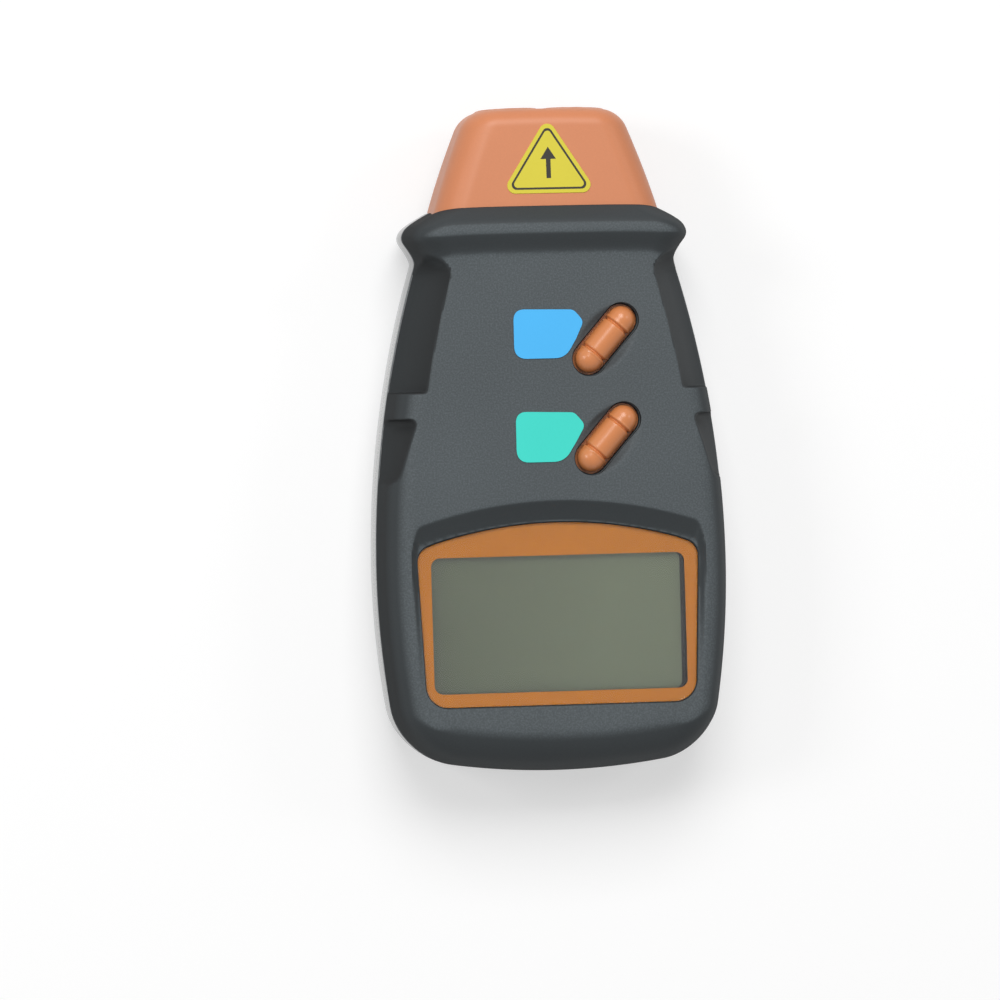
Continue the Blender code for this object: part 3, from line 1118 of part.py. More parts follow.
def make_power():
    """Nine-volt battery, its snap connector and the two leads to the board."""
    half = BATTERY_WIDTH / 2
    outline = rectangle(-half, BATTERY_BASE, half, BATTERY_BASE + BATTERY_THICKNESS, BATTERY_CORNER)
    bm = bmesh.new()
    base = bm.faces.new([bm.verts.new((x, BATTERY_START, z)) for x, z in outline])
    raised = bmesh.ops.extrude_face_region(bm, geom=[base])["geom"]
    tops = [item for item in raised if isinstance(item, bmesh.types.BMVert)]
    bmesh.ops.translate(bm, verts=tops, vec=(0, BATTERY_LENGTH, 0))
    battery = to_object("battery", bm, BATTERY_FOIL)
    snap = to_object("battery_snap", box(
        (-half + BAY_CLEARANCE, SNAP_START, BATTERY_BASE + BATTERY_CORNER),
        (half - BAY_CLEARANCE, SNAP_END, BATTERY_BASE + BATTERY_THICKNESS - BATTERY_CORNER)), DARK_PLASTIC)
    for side in (-1, 1):
        x = side * TERMINAL_SPREAD
        stud = rod(x, BATTERY_MIDDLE, BATTERY_END - GAP, BATTERY_END + TERMINAL_HEIGHT, TERMINAL_RADIUS, 20)
        combine(battery, cutter(f"terminal_{side + 1}", stud), "UNION")
        pocket = rod(x, BATTERY_MIDDLE, BATTERY_END - WALL, BATTERY_END + TERMINAL_HEIGHT + GAP,
                     TERMINAL_RADIUS + GAP, 20)
        combine(snap, cutter(f"snap_pocket_{side + 1}", pocket))
    start_y = SNAP_END + GAP
    exit_y = BAY_END + BAY_WALL + 4 * LEAD_RADIUS
    slot_middle = (BATTERY_MIDDLE + BAY_CEILING - WALL) / 2
    end_z = BOARD_BASE - GAP
    for name, side, material in (("red", -1, RED_WIRE), ("black", 1, BLACK_WIRE)):
        x = side * LEAD_SLOT / 2
        rise_y = exit_y + 3 * LEAD_RADIUS
        lead(f"battery_lead_{name}", [
            (x, start_y, slot_middle), (x, BAY_END, slot_middle), (x, exit_y, slot_middle + LEAD_RADIUS),
            (x, rise_y, (slot_middle + end_z) / 2), (x, rise_y, end_z)], material)


def make_signal_leads(barrel_back, diode_back):
    """Leads from the laser and the photodiode up to the top of the board."""
    board_y = MOUTH_Y - BOARD_TOP_FROM_MOUTH
    end_z = BOARD_TOP + GAP + LEAD_RADIUS
    starts = (("laser_lead", -OPTICS_SPREAD, barrel_back), ("receiver_lead", OPTICS_SPREAD, diode_back))
    for name, x, start in starts:
        y = start - GAP
        lead(name, [
            (x, y, LENS_HEIGHT), (x, y - 4 * LEAD_RADIUS, LENS_HEIGHT + LEAD_RADIUS),
            (0.8 * x, lerp(y, board_y, 0.6), lerp(LENS_HEIGHT, end_z, 0.7)),
            (x / 2, board_y + 4 * LEAD_RADIUS, end_z),
            (x / 2, board_y - 4 * LEAD_RADIUS, end_z)], BLACK_WIRE)


def screw_mesh(name, head, head_height, radius, length, material):
    """Pan-head screw pointing up, its head at the bottom, with a cross recess."""
    blank = turned(name, [
        (0, length), (radius, length - radius), (radius, 0), (head, 0),
        (head, -head_height * HEAD_SIDE), (head * HEAD_FLAT, -head_height), (0, -head_height)],
        material, 12, CUTTERS)
    arm = head * CROSS_ARM
    blade = head * CROSS_BLADE
    depth = head_height * CROSS_DEPTH
    cross = cutter(f"{name}_cross", box((-arm, -blade, -FAR), (arm, blade, depth - head_height)))
    other = cutter(f"{name}_cross_arm", box((-blade, -arm, -FAR), (blade, arm, depth - head_height)))
    combine(blank, cross)
    combine(blank, other)
    bpy.context.view_layer.update()
    made = blank.evaluated_get(bpy.context.evaluated_depsgraph_get())
    mesh = bpy.data.meshes.new_from_object(made)
    for item in (blank, cross, other):
        bpy.data.objects.remove(item, do_unlink=True)
    return mesh


def make_screws():
    """Four case screws from the back and four board screws from under the board."""
    case_mesh = screw_mesh("case_screw", CASE_SCREW_HEAD, CASE_SCREW_HEAD_HEIGHT, CASE_SCREW_RADIUS,
                           CASE_SCREW_LENGTH, STEEL)
    for i, (x, y) in enumerate(post_places()):
        screw = bpy.data.objects.new(f"case_screw_{i + 1}", case_mesh)
        screw.location = (x, y, CASE_SCREW_DEPTH - GAP)
        PARTS.objects.link(screw)
    reach = BOARD_THICKNESS + GAP + BOARD_SCREW_GRIP
    board_mesh = screw_mesh("board_screw", BOARD_SCREW_HEAD, BOARD_SCREW_HEAD_HEIGHT, BOARD_SCREW_RADIUS,
                            reach, STEEL)
    for i, (x, y) in enumerate(board_post_places()):
        screw = bpy.data.objects.new(f"board_screw_{i + 1}", board_mesh)
        screw.location = (x, y, BOARD_BASE - GAP)
        PARTS.objects.link(screw)


make_front_shell()
make_rear_shell()
make_battery_door()
make_nose()
make_sticker()
laser_back, receiver_back = make_optics()
make_display()
make_key("memory", MEMORY_Y, MEMORY_FIELD_RISE, BLUE_PRINT)
make_key("test", TEST_Y, TEST_FIELD_RISE, GREEN_PRINT)
make_board()
make_power()
make_signal_leads(laser_back, receiver_back)
make_screws()
bpy.context.view_layer.update()
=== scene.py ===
import bmesh
import bpy
import numpy as np
from mathutils import Matrix, Vector


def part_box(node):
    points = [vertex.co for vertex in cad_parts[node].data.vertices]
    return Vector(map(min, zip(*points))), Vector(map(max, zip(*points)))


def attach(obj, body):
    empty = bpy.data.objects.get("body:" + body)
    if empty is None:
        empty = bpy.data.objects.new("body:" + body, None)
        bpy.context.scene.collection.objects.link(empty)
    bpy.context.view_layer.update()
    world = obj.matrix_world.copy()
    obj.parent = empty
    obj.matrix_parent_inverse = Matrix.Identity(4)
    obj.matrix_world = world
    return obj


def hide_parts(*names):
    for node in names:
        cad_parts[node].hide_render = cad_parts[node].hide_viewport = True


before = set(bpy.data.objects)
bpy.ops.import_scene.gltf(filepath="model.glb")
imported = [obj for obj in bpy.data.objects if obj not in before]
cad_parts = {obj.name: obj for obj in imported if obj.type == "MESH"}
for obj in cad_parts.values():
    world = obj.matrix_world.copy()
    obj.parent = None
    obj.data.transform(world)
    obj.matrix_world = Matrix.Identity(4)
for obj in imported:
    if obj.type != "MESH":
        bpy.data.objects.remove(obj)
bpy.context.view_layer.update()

# Rear shell. The lower half of the case, moulded in dark grey ABS: a tub with screw posts, a bay for
# the battery and a track for its door. Its surface is found on rays from a line inside the case, so
# one grid follows the sides, the round lower end and the flared collar. Lengths are in millimetres.
MM = 0.001
PARTING = 16.0  # height of the line between the two halves
BELT = 11.0  # height at which the sides are widest
FACE = 27.2  # height of the front
LOWER_END = -65.5
NECK = 35.2  # the flare of the collar starts here
COLLAR = 39.8  # widest place of the collar
RIM = 42.1
MOUTH = 45.2
WALL = 2.0
ROOM_END = 41.8  # the room in the case ends before the collar's mouth
FAN_START = -36.0  # below this place the rays turn round the lower end
PLAN_CORNER = 9.0
BACK_EDGE = 4.8
NOSE_LENGTH = 20.3
NOSE_FALL = 1.5  # the nose's top falls by this much from the mouth to the tip
NOSE_Z = 14.5


def step(value, start, end):
    """0 up to start, 1 from end on, with a smooth cubic between."""
    t = np.clip((value - start) / (end - start), 0.0, 1.0)
    return t * t * (3 - 2 * t)


def curve_through(places, values, blur):
    """Straight runs between the points, then averaged under a bell curve of the given width, so that
    each corner turns into a soft bend."""
    grid = np.arange(places[0], places[-1], 0.05)
    offsets = np.arange(-3 * blur, 3 * blur + 0.01, 0.05)
    bell = np.exp(-0.5 * (offsets / blur) ** 2)
    bell /= bell.sum()
    runs = np.interp(grid, places, values)
    padded = np.pad(runs, len(bell) // 2, mode="reflect", reflect_type="odd")
    soft = np.convolve(padded, bell, mode="valid")[:len(grid)]
    return lambda place: np.interp(place, grid, soft)


sides_y = np.concatenate([np.arange(-75, NECK, 1.0), [NECK, 36.6, 38.2, 39.4, 40.6, RIM, 43.3, MOUTH, 50]])
bow = np.where(sides_y > -25, 398.0, 346.0)
sides_x = 35 - (sides_y + 25) ** 2 / bow
sides_x[-8:] = [26.4, 27.4, 28.3, 28.5, 27.8, 26.2, 22.9, 15.0]
side_half = curve_through(sides_y, sides_x, 0.45)
face_height = curve_through([-80, 34.4, 35.8, 37.2, 38.6, 39.9, RIM, 43.4, MOUTH, 50],
                            [FACE, FACE, 27.25, 27.7, 28.4, 29.0, 28.8, 27.7, 25.9, 20.0], 0.4)
back_height = curve_through([-80, 29.2, 32.0, NECK, 37.4, COLLAR, RIM, MOUTH, 50],
                            [0.0, 0.0, 0.35, 0.8, 0.4, 0.0, 0.0, 2.8, 8.0], 0.5)


def rounded(a, b, radius):
    """Two fields, negative inside, that meet in an edge of the given radius: the larger of the two, or
    near the edge the distance from the arc's middle, less the radius."""
    outside = np.hypot(np.maximum(a + radius, 0), np.maximum(b + radius, 0))
    return np.minimum(np.maximum(a, b), -radius) + outside


def case_plan(x, y, z, inset, high, low):
    """Sides and lower end of the case: bowed sides, upright in the middle, that draw in 1.0 mm from the
    parting line up and 0.4 mm from the belt down, and an end that bows by 2.5 mm. Also tells how far
    round from the side to the end a point lies, from 0 to 1."""
    above = np.clip((z - PARTING + 1) / (high - 4.5 - PARTING), 0, 1) ** 1.3
    below = np.clip((BELT - z) / (BELT - low - BACK_EDGE), 0, 1) ** 1.4
    side = np.abs(x) - (side_half(y) - inset - 1.0 * above - 0.4 * below)
    end = LOWER_END + inset + 2.5 * (x / 26) ** 2 - y
    corner = PLAN_CORNER - inset
    turn = np.arctan2(np.maximum(end + corner, 0), np.maximum(side + corner, 0))
    return rounded(side, end, corner), step(turn, 0, np.pi / 2)


def rear_field(x, y, z, inset=0.0, top=PARTING):
    """Rear half: the case plan and a back with a rounded edge, cut flat at the parting line and the
    mouth. The edge is smaller round the lower end and larger under the collar."""
    low = back_height(y) + inset
    plan, end_share = case_plan(x, y, z, inset, face_height(y), low)
    edge = BACK_EDGE - 1.8 * end_share + 1.2 * step(y, NECK, RIM) - inset / 2
    body = rounded(plan, low - z, edge)
    return rounded(rounded(body, z - top, 0.3), y - MOUTH, 0.3)


def plan_outline(rows, fan, half=side_half, box=(34.5, 30.0), way=-1):
    """Targets of the rays in plan, along the right side, round the end in a fan of directions and back
    along the left side, and the place along the middle that each ray turns about. In the fan a target
    lies on a box of that half size, but within 42 mm."""
    y = np.asarray(rows, float)
    side = np.stack([half(y), y], 1)
    angle = np.linspace(0, np.pi, fan + 2)[1:-1]
    reach = np.stack([np.cos(angle), way * np.sin(angle)], 1)
    far = (box / np.maximum(np.abs(reach), 1e-6)).min(1).clip(None, 42)
    outline = np.concatenate([side, reach * far[:, None] + [0, y[-1]], side[::-1] * [-1, 1]])
    return outline, np.concatenate([y, np.full(fan, y[-1]), y[::-1]])


def ray_grid(field, outline, pivots, level, profile, lead=0.0):
    """Grid of surface points. For each outline point the profile (share of the way out, height) gives
    a target. A ray starts at the pivot's place on the given level, or the lead's share of the way to
    the target's place, and the point is where it leaves the field, found by halving 30 times."""
    share, height = np.asarray(profile, float).T
    out = np.stack([outline[:, 0], outline[:, 1] - pivots], 1)
    target = np.empty((len(outline), len(share), 3))
    target[..., :2] = out[:, None, :] * share[None, :, None]
    start = target * lead
    target[..., 1] += pivots[:, None]
    start[..., 1] += pivots[:, None]
    target[..., 2] = height
    start[..., 2] = level
    ray = target - start
    near = np.full(ray.shape[:2], 0.05)
    far = np.full(ray.shape[:2], 1.6)
    for _ in range(30):
        half = (near + far) / 2
        point = start + ray * half[..., None]
        inside = field(point[..., 0], point[..., 1], point[..., 2]) < 0
        near, far = np.where(inside, half, near), np.where(inside, far, half)
    return start + ray * near[..., None]


def section_profile(high, low, radius, steps, edge):
    """Shares and heights of the targets: from the middle of the top round the upper edge, down the
    wall, round the lower edge and back to the middle of the bottom. A share of 1 stands for 30 mm."""
    top_steps, arc_steps, wall_steps, base_steps = steps
    angle = np.linspace(0, np.pi / 2, arc_steps + 1)
    width, foot_width = radius / 30, edge / 30
    top = np.stack([np.linspace(0, 1 - width, top_steps + 1), np.full(top_steps + 1, high)], 1)
    shoulder = np.stack([1 - width + width * np.sin(angle), high - radius + radius * np.cos(angle)], 1)
    wall = np.stack([np.full(wall_steps + 1, 1.0), np.linspace(high - radius, low + edge, wall_steps + 1)], 1)
    turn = angle[::2]
    foot = np.stack([1 - foot_width + foot_width * np.cos(turn), low + edge - edge * np.sin(turn)], 1)
    base = np.stack([np.linspace(1 - foot_width, 0, base_steps + 1), np.full(base_steps + 1, low)], 1)
    return np.concatenate([top, shoulder[1:], wall[1:], foot[1:], base[1:]])


def mesh_of(name, points, faces):
    """Mesh from points in millimetres and a list of faces."""
    mesh = bpy.data.meshes.new(name)
    mesh.from_pydata((np.asarray(points, float) * MM).tolist(), [], faces)
    return mesh


def object_of(name, mesh, material=None):
    """Object at the origin with that mesh, in the scene."""
    piece = bpy.data.objects.new(name, mesh)
    bpy.context.scene.collection.objects.link(piece)
    if material:
        mesh.materials.append(material)
    return piece


def grid_faces(rows, columns, around):
    """Quads of a grid of points, closed on itself along the columns if it runs around."""
    index = np.arange(rows * columns).reshape(rows, columns)
    after = np.roll(index, -1, 1) if around else index[:, 1:]
    before = index if around else index[:, :-1]
    quads = np.stack([before[:-1], after[:-1], after[1:], before[1:]], -1)
    return quads.reshape(-1, 4).tolist()


def closed(mesh):
    """Merge doubles, fill the open ends and turn all faces outwards."""
    bm = bmesh.new()
    bm.from_mesh(mesh)
    bmesh.ops.remove_doubles(bm, verts=bm.verts, dist=2e-6)
    bmesh.ops.dissolve_degenerate(bm, edges=bm.edges, dist=1e-7)
    rim = [edge for edge in bm.edges if edge.is_boundary]
    if rim:
        bmesh.ops.holes_fill(bm, edges=rim, sides=0)
    bmesh.ops.recalc_face_normals(bm, faces=bm.faces)
    bm.to_mesh(mesh)
    bm.free()
    return mesh


def grid_solid(name, points, around=True):
    """Closed mesh of a grid of points in millimetres."""
    return closed(mesh_of(name, points.reshape(-1, 3), grid_faces(*points.shape[:2], around)))


def ray_solid(name, field, outline, pivots, level, profile):
    """Closed mesh of a field's surface."""
    return grid_solid(name, ray_grid(field, outline, pivots, level, profile), around=False)


def block(name, low, high):
    """Box between two corners in millimetres."""
    corners = [(x, y, z) for x in (low[0], high[0]) for y in (low[1], high[1]) for z in (low[2], high[2])]
    faces = [(0, 1, 3, 2), (4, 6, 7, 5), (0, 4, 5, 1), (2, 3, 7, 6), (0, 2, 6, 4), (1, 5, 7, 3)]
    return closed(mesh_of(name, corners, faces))


def turned(name, profile, place, axis="Z", steps=64):
    """Solid of a profile of (radius, height) carried round an axis, in millimetres."""
    radius, height = np.asarray(profile, float).T
    angle = np.linspace(0, 2 * np.pi, steps, endpoint=False)
    flat = [radius[:, None] * np.cos(angle), radius[:, None] * np.sin(angle),
            np.broadcast_to(height[:, None], (len(radius), steps))]
    order = {"Z": (0, 1, 2), "Y": (0, 2, 1)}[axis]
    return grid_solid(name, np.stack([flat[i] for i in order], -1) + place)


def carved(name, body, cutters=(), added=(), kept=None):
    """Body with solids joined to it and cut from it by Booleans that keep it closed, as a plain mesh."""
    piece = object_of(name, body)
    helpers = []
    tasks = [("UNION", mesh) for mesh in added] + [("DIFFERENCE", mesh) for mesh in cutters]
    tasks += [("INTERSECT", kept)] if kept else []
    for operation, mesh in tasks:
        helper = object_of(mesh.name, mesh)
        helpers.append(helper)
        modifier = piece.modifiers.new(mesh.name, "BOOLEAN")
        modifier.operation = operation
        modifier.solver = "MANIFOLD"
        modifier.object = helper
    bpy.context.view_layer.update()
    result = bpy.data.meshes.new_from_object(piece.evaluated_get(bpy.context.evaluated_depsgraph_get()))
    result.materials.clear()
    for item in helpers + [piece]:
        bpy.data.objects.remove(item, do_unlink=True)
    return result


def smooth(mesh, degrees=32):
    """Smooth shading with hard edges where two faces meet at more than the given angle."""
    mesh.shade_smooth()
    mesh.set_sharp_from_angle(angle=np.radians(degrees))
    return mesh


def linear(code):
    """sRGB hex value as linear red, green, blue and an alpha of 1."""
    channels = np.array([int(code[i:i + 2], 16) for i in (0, 2, 4)]) / 255
    low = channels / 12.92
    high = ((channels + 0.055) / 1.055) ** 2.4
    return (*np.where(channels <= 0.04045, low, high), 1.0)


def feed(node, **inputs):
    """Give a node's inputs their numbers or colours, or link them to other nodes. i0 is the first input,
    and a node stands for its first output."""
    for key, value in inputs.items():
        socket = node.inputs[int(key[1:]) if key[1:].isdigit() else key.replace("_", " ")]
        value = value.outputs[0] if isinstance(value, bpy.types.Node) else value
        if isinstance(value, bpy.types.NodeSocket):
            node.id_data.links.new(value, socket)
        else:
            socket.default_value = value
    return node


def add(owner, kind, settings=(), **inputs):
    """Add a node to a material or world, with its own settings and what its inputs are fed."""
    node = owner.node_tree.nodes.new("ShaderNode" + kind)
    for key, value in dict(settings).items():
        setattr(node, key, value)
    return feed(node, **inputs)


def new_material(name, **inputs):
    """Principled material with its sockets set; returns the material and its shader node."""
    material = bpy.data.materials.new(name)
    material.use_nodes = True
    return material, feed(material.node_tree.nodes["Principled BSDF"], **inputs)


# ABS from a mould that is polished round the sides and spark-eroded on the back, and the back is dark
# and matt. Below the collar the long sides are painted pale, a painted reflection of a bright surround
# seen at a grazing angle. The grain is drawn 0.4 mm across, about four times as coarse as such a
# surface has, so that it shows.
soft = {"interpolation_type": "SMOOTHSTEP"}
multiply = {"operation": "MULTIPLY"}
scale = {"operation": "SCALE"}
colours = {"data_type": "RGBA"}
rear_abs, shader = new_material("rear_abs", IOR=1.53)
place = add(rear_abs, "TexCoord").outputs
facing = add(rear_abs, "SeparateXYZ", Vector=place["Normal"]).outputs
along = add(rear_abs, "SeparateXYZ", Vector=place["Object"]).outputs
back = add(rear_abs, "MapRange", soft, Value=facing["Z"], From_Min=-0.55, From_Max=-0.90)
pits = add(rear_abs, "TexNoise", Vector=place["Object"], Scale=1000 / 0.4, Detail=2.0, Roughness=0.55)
speck = add(rear_abs, "MapRange", Value=pits, From_Min=0.3, From_Max=0.7, To_Min=0.88, To_Max=1.14)
side = add(rear_abs, "Math", {"operation": "ABSOLUTE"}, i0=facing["X"])
# Painted reflection: faces that look sideways, below the collar, are painted pale grey.
painted_sheen = add(rear_abs, "MapRange", soft, Value=side, From_Min=0.80, From_Max=0.97)
sheen_below_collar = add(rear_abs, "MapRange", Value=along["Y"], From_Min=34 * MM, From_Max=20 * MM)
painted_sheen = add(rear_abs, "Math", multiply, i0=painted_sheen, i1=sheen_below_collar)
tone = add(rear_abs, "Mix", colours, Factor=painted_sheen, A=linear("4c5154"), B=linear("9a9c9c"))
tint = add(rear_abs, "VectorMath", scale, i0=tone.outputs["Result"], Scale=speck)
rough = add(rear_abs, "MapRange", Value=back, To_Min=0.14, To_Max=0.52)
depth = add(rear_abs, "MapRange", Value=back, To_Min=0.03, To_Max=1.0)
bump = add(rear_abs, "Bump", Distance=0.03 * MM, Height=pits, Strength=depth)
feed(shader, Base_Color=tint, Roughness=rough, Normal=bump)

rear_rows = np.concatenate([[MOUTH, 45.15, 45.05, 44.9], np.arange(44.5, 27.0, -0.5),
                            np.arange(27.0, FAN_START, -1.5), [FAN_START]])
rear_plan = plan_outline(rear_rows, 96)
rear_profile = section_profile(PARTING, 0.0, 0.4, (6, 4, 14, 24), 4.0)
rear_body = ray_solid("rear_body", rear_field, *rear_plan, 7.5, rear_profile)


def rear_room(x, y, z):
    """Room in the rear half: the rear field drawn in by the wall, up past the parting line."""
    return rounded(rear_field(x, y, z, WALL, 20.0), y - ROOM_END, 0.5)


room_rows = np.concatenate([[ROOM_END, 41.5, 41.0], np.arange(40, FAN_START, -4.0), [FAN_START]])
room_plan = plan_outline(room_rows, 40)
room_profile = section_profile(20.0, WALL, 0.6, (4, 4, 6, 8), 3.0)
rear_cavity = ray_solid("rear_cavity", rear_room, *room_plan, 12.0, room_profile)


def box_of(node):
    """Lower and upper corner of a CAD node in millimetres."""
    return [np.array(corner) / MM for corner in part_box(node)]


door_low, door_high = box_of("battery_door")
battery_low, battery_high = box_of("battery")
snap_high = box_of("battery_snap")[1]
bay_low = np.array([battery_low[0] - 0.6, battery_low[1] - 0.3, 0.5])
bay_high = np.array([battery_high[0] + 0.6, snap_high[1] + 1.8, battery_high[2] + 0.3])
screw_places = [sum(box_of(f"case_screw_{i}")) / 2 * [1, 1, 0] for i in (1, 2, 3, 4)]
post = [(0, -1), (4.0, -1), (4.0, 11.2), (0, 11.2)]
bay_wall = 1.2
rear_cavity = carved("rear_cavity", rear_cavity, cutters=[
    block("bay_block", [*(bay_low - bay_wall)[:2], -1], [*(bay_high + bay_wall)[:2], bay_high[2] + 1]),
    block("rail_block", [door_low[0] - 1.5, bay_low[1], -1], [door_high[0] + 1.5, bay_high[1] + 3.6, 3.3])]
    + [turned("post", post, spot, steps=32) for spot in screw_places])
GAP = 0.25  # round the door
TONGUE = 1.3  # width of the door's tongues
door_cut = block("door_cut", [door_low[0] + TONGUE - GAP, -90, -5],
                 [door_high[0] - TONGUE + GAP, door_high[1] + GAP, door_high[2] + 0.3])
tongue_cut = block("tongue_cut", [door_low[0] - GAP, -90, 0.9],
                   [door_high[0] + GAP, door_high[1] + GAP, door_high[2] + 0.3])
bay_cut = block("bay_cut", bay_low, bay_high)
# Bore of a case screw: its shank, then the sunk place for the head, with a chamfer at the back.
bore = [(0, 14), (1.6, 14), (1.6, 4.2), (2.8, 4.2), (2.8, 0.25), (3.05, 0.0), (3.05, -2), (0, -2)]
bores = [turned("bore", bore, spot, steps=40) for spot in screw_places]


def nose_half(y):
    """Half width of the nose: it draws in by 7.4 mm from the mouth to the tip."""
    return 22.3 - 7.4 * (y - MOUTH) / NOSE_LENGTH


def nose_tall(y):
    """Half height of the nose: it draws in by the nose's fall."""
    return 11.0 - NOSE_FALL * (y - MOUTH) / NOSE_LENGTH


def nose_sleeve(name, ends, grow, corner):
    """Rounded box that follows the nose between two places: the nose's half width and half height grown
    by some play, with an arc at each corner."""
    y = np.array(ends)[:, None]
    angle = np.linspace(0, 2 * np.pi, 64, endpoint=False)
    across = np.sign(np.cos(angle)) * (nose_half(y) + grow - corner) + corner * np.cos(angle)
    upright = NOSE_Z + np.sign(np.sin(angle)) * (nose_tall(y) + grow - corner) + corner * np.sin(angle)
    return grid_solid(name, np.stack([across, np.broadcast_to(y, across.shape), upright], -1))


rear_mouth = nose_sleeve("rear_mouth", (38.0, 50.0), 0.3, 6.3)
rear_mesh = carved("rear_case", rear_body,
                   cutters=[rear_cavity, bay_cut, door_cut, tongue_cut, rear_mouth] + bores)
rear = object_of("rear_case", smooth(rear_mesh), rear_abs)
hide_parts("rear_shell")
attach(rear, "case")

# Battery door. A flat ABS cover that slides off the lower end on two thin tongues, with five ridges
# for the thumb. It is cut from the same outer form as the shell, so the two surfaces run on.
plate = block("plate", [door_low[0] + TONGUE, -90, -5], [door_high[0] - TONGUE, *door_high[1:]])
tongues = block("tongues", [door_low[0], -90, 1.2], door_high)
form = ray_solid("form", rear_field, *rear_plan, 7.5, rear_profile)
ridge_starts = LOWER_END + 12 + 2.2 * np.arange(5)
ridges = [block("ridge", [-8, start, -1], [8, start + 1, 0.5]) for start in ridge_starts]
cover = carved("door_cover", carved("plate", plate, added=[tongues], kept=form), ridges)
door = object_of("door_cover", smooth(cover), rear_abs)
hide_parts("battery_door")
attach(door, "door")

# Hidden pieces. Inside the closed case the CAD solids stay and get their finishes: the battery, the
# leads, the board and its parts, the switches, the optics and the screws. Each row is the finish, its
# colour, its roughness, how metallic it is, and the pieces that have it.
hidden = [
    ("battery_jacket", "3a3d40", 0.35, 0.6, ["battery"]),
    ("black_vinyl", "17181a", 0.45, 0.0, ["battery_snap"]),
    ("red_wire", "a01812", 0.45, 0.0, ["battery_lead_red"]),
    ("black_wire", "141416", 0.45, 0.0, ["battery_lead_black", "laser_lead", "receiver_lead"]),
    ("solder_mask", "1d5a33", 0.40, 0.0, ["main_board"]),
    ("chip_resin", "1b1c1e", 0.50, 0.0, ["controller_chip", "memory_switch", "test_switch"]),
    ("nickel_can", "c4c6c8", 0.28, 1.0, ["crystal", "memory_plunger", "test_plunger"]),
    ("sleeve", "1c2a52", 0.40, 0.0, ["capacitor"]),
    ("frame_plastic", "17181a", 0.55, 0.0, ["display_frame"]),
    ("contact_rubber", "8a8378", 0.75, 0.0, ["contact_strip_upper", "contact_strip_lower"]),
    ("holder_plastic", "1a1b1d", 0.50, 0.0, ["optics_holder"]),
    ("turned_brass", "c9a050", 0.28, 1.0, ["laser_barrel"]),
    ("diode_resin", "202024", 0.25, 0.0, ["photodiode"]),
    ("screw_steel", "b9bcbf", 0.32, 1.0,
     [f"{kind}_screw_{i}" for kind in ("case", "board") for i in range(1, 5)]),
]
finishes = {}
for name, code, roughness, metallic, nodes in hidden:
    # Faint wear about 1.4 mm across, in which gloss and tone drift a little.
    material, shader = new_material(name, Metallic=metallic)
    place = add(material, "TexCoord").outputs
    wear = add(material, "TexNoise", Vector=place["Object"], Scale=700.0, Detail=3.0)
    rough = add(material, "MapRange", Value=wear, To_Min=roughness - 0.08, To_Max=roughness + 0.08)
    tone = add(material, "MapRange", Value=wear, To_Min=0.9, To_Max=1.1)
    tint = add(material, "VectorMath", scale, i0=linear(code)[:3], Scale=tone)
    feed(shader, Base_Color=tint, Roughness=rough)
    finishes[name] = material
    for node in nodes:
        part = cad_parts[node]
        for slot in range(len(part.data.materials)):
            part.data.materials[slot] = material

# Front shell. The upper half of the case, in ABS with a fine grain: sunken display panel under a
# brow, dished key openings, finger hollows along both sides and the flared collar round the nose.
WINDOW_TOP = -16.4
WINDOW_HEIGHT = 35.8
WINDOW_HALF = 27.9
WINDOW_TAPER = 1.3
WINDOW_ARCH = 4.8
PANEL = 25.4  # height of the panel at the window's top
PANEL_RISE = 1.8 / 40.2
KEY_ANGLE = np.radians(49.0)
KEYS = {"memory": (10.2, 19.4), "test": (10.2, -0.1)}
GRIP_FOOT = 16.6
GRIP_WALL = 5.1  # the side is upright over this height, then turns over by the radius
GRIP_RADIUS = 5.5


def shoulder(share):
    """Point of the shell's side, from the side line: 0 at the foot of the hollows, 1 at the face. It goes
    up, leaning in by 1 in 10.7, and then round a quarter circle."""
    run = share * (GRIP_WALL + GRIP_RADIUS * np.pi / 2)
    angle = np.maximum(run - GRIP_WALL, 0) / GRIP_RADIUS
    height = GRIP_FOOT + np.minimum(run, GRIP_WALL)
    return -(height - BELT) / 10.7 - GRIP_RADIUS * (1 - np.cos(angle)), height + GRIP_RADIUS * np.sin(angle)


def hollow(x, y, z, share, out):
    """Cylinder of 25 mm radius that cuts the side between its foot and the given share of its height;
    moved outwards it cuts less deep."""
    dx, top = shoulder(share)
    foot_x, foot_z = shoulder(0.0)
    run, rise = dx - foot_x, top - foot_z
    chord = np.hypot(run, rise)
    away = np.sqrt(25.0 ** 2 - chord ** 2 / 4) + out
    centre_x = side_half(y) + foot_x + run / 2 + away * rise / chord
    centre_z = foot_z + rise / 2 - away * run / chord
    return np.hypot(np.abs(x) - centre_x, z - centre_z) - 25.0


def grips(x, y, z):
    """Upper and lower finger hollows. The lower one narrows from 0.93 of the shoulder's height by a
    quarter over 14 mm and then closes in a round end."""
    upper = rounded(hollow(x, y, z, 1.0, 4.4 * step(y, 32.4, 38.0)), 9.7 - y, 0.5)
    t = np.clip((4.5 - y) / 14.0, 0, 0.995)
    height = 0.93 * (1 - 0.26 * t) * np.sqrt(1 - t ** 14)
    lower = rounded(hollow(x, y, z, height, 2.0 * step(t, 0.75, 1.0) ** 2), y - 4.5, 1.6)
    return upper, lower


def window_distance(x, y):
    """Distances outside the window's sides, which draw in evenly downwards, and outside its top, which
    is a parabola: there the height above it is taken square to its slope."""
    fall = (WINDOW_TOP - y) / WINDOW_HEIGHT
    side = np.abs(x) - (WINDOW_HALF - WINDOW_TAPER * fall)
    slope = 2 * WINDOW_ARCH * np.abs(x) / WINDOW_HALF ** 2
    top = (y - WINDOW_TOP + WINDOW_ARCH * (x / WINDOW_HALF) ** 2) / np.hypot(1, slope)
    return side, top


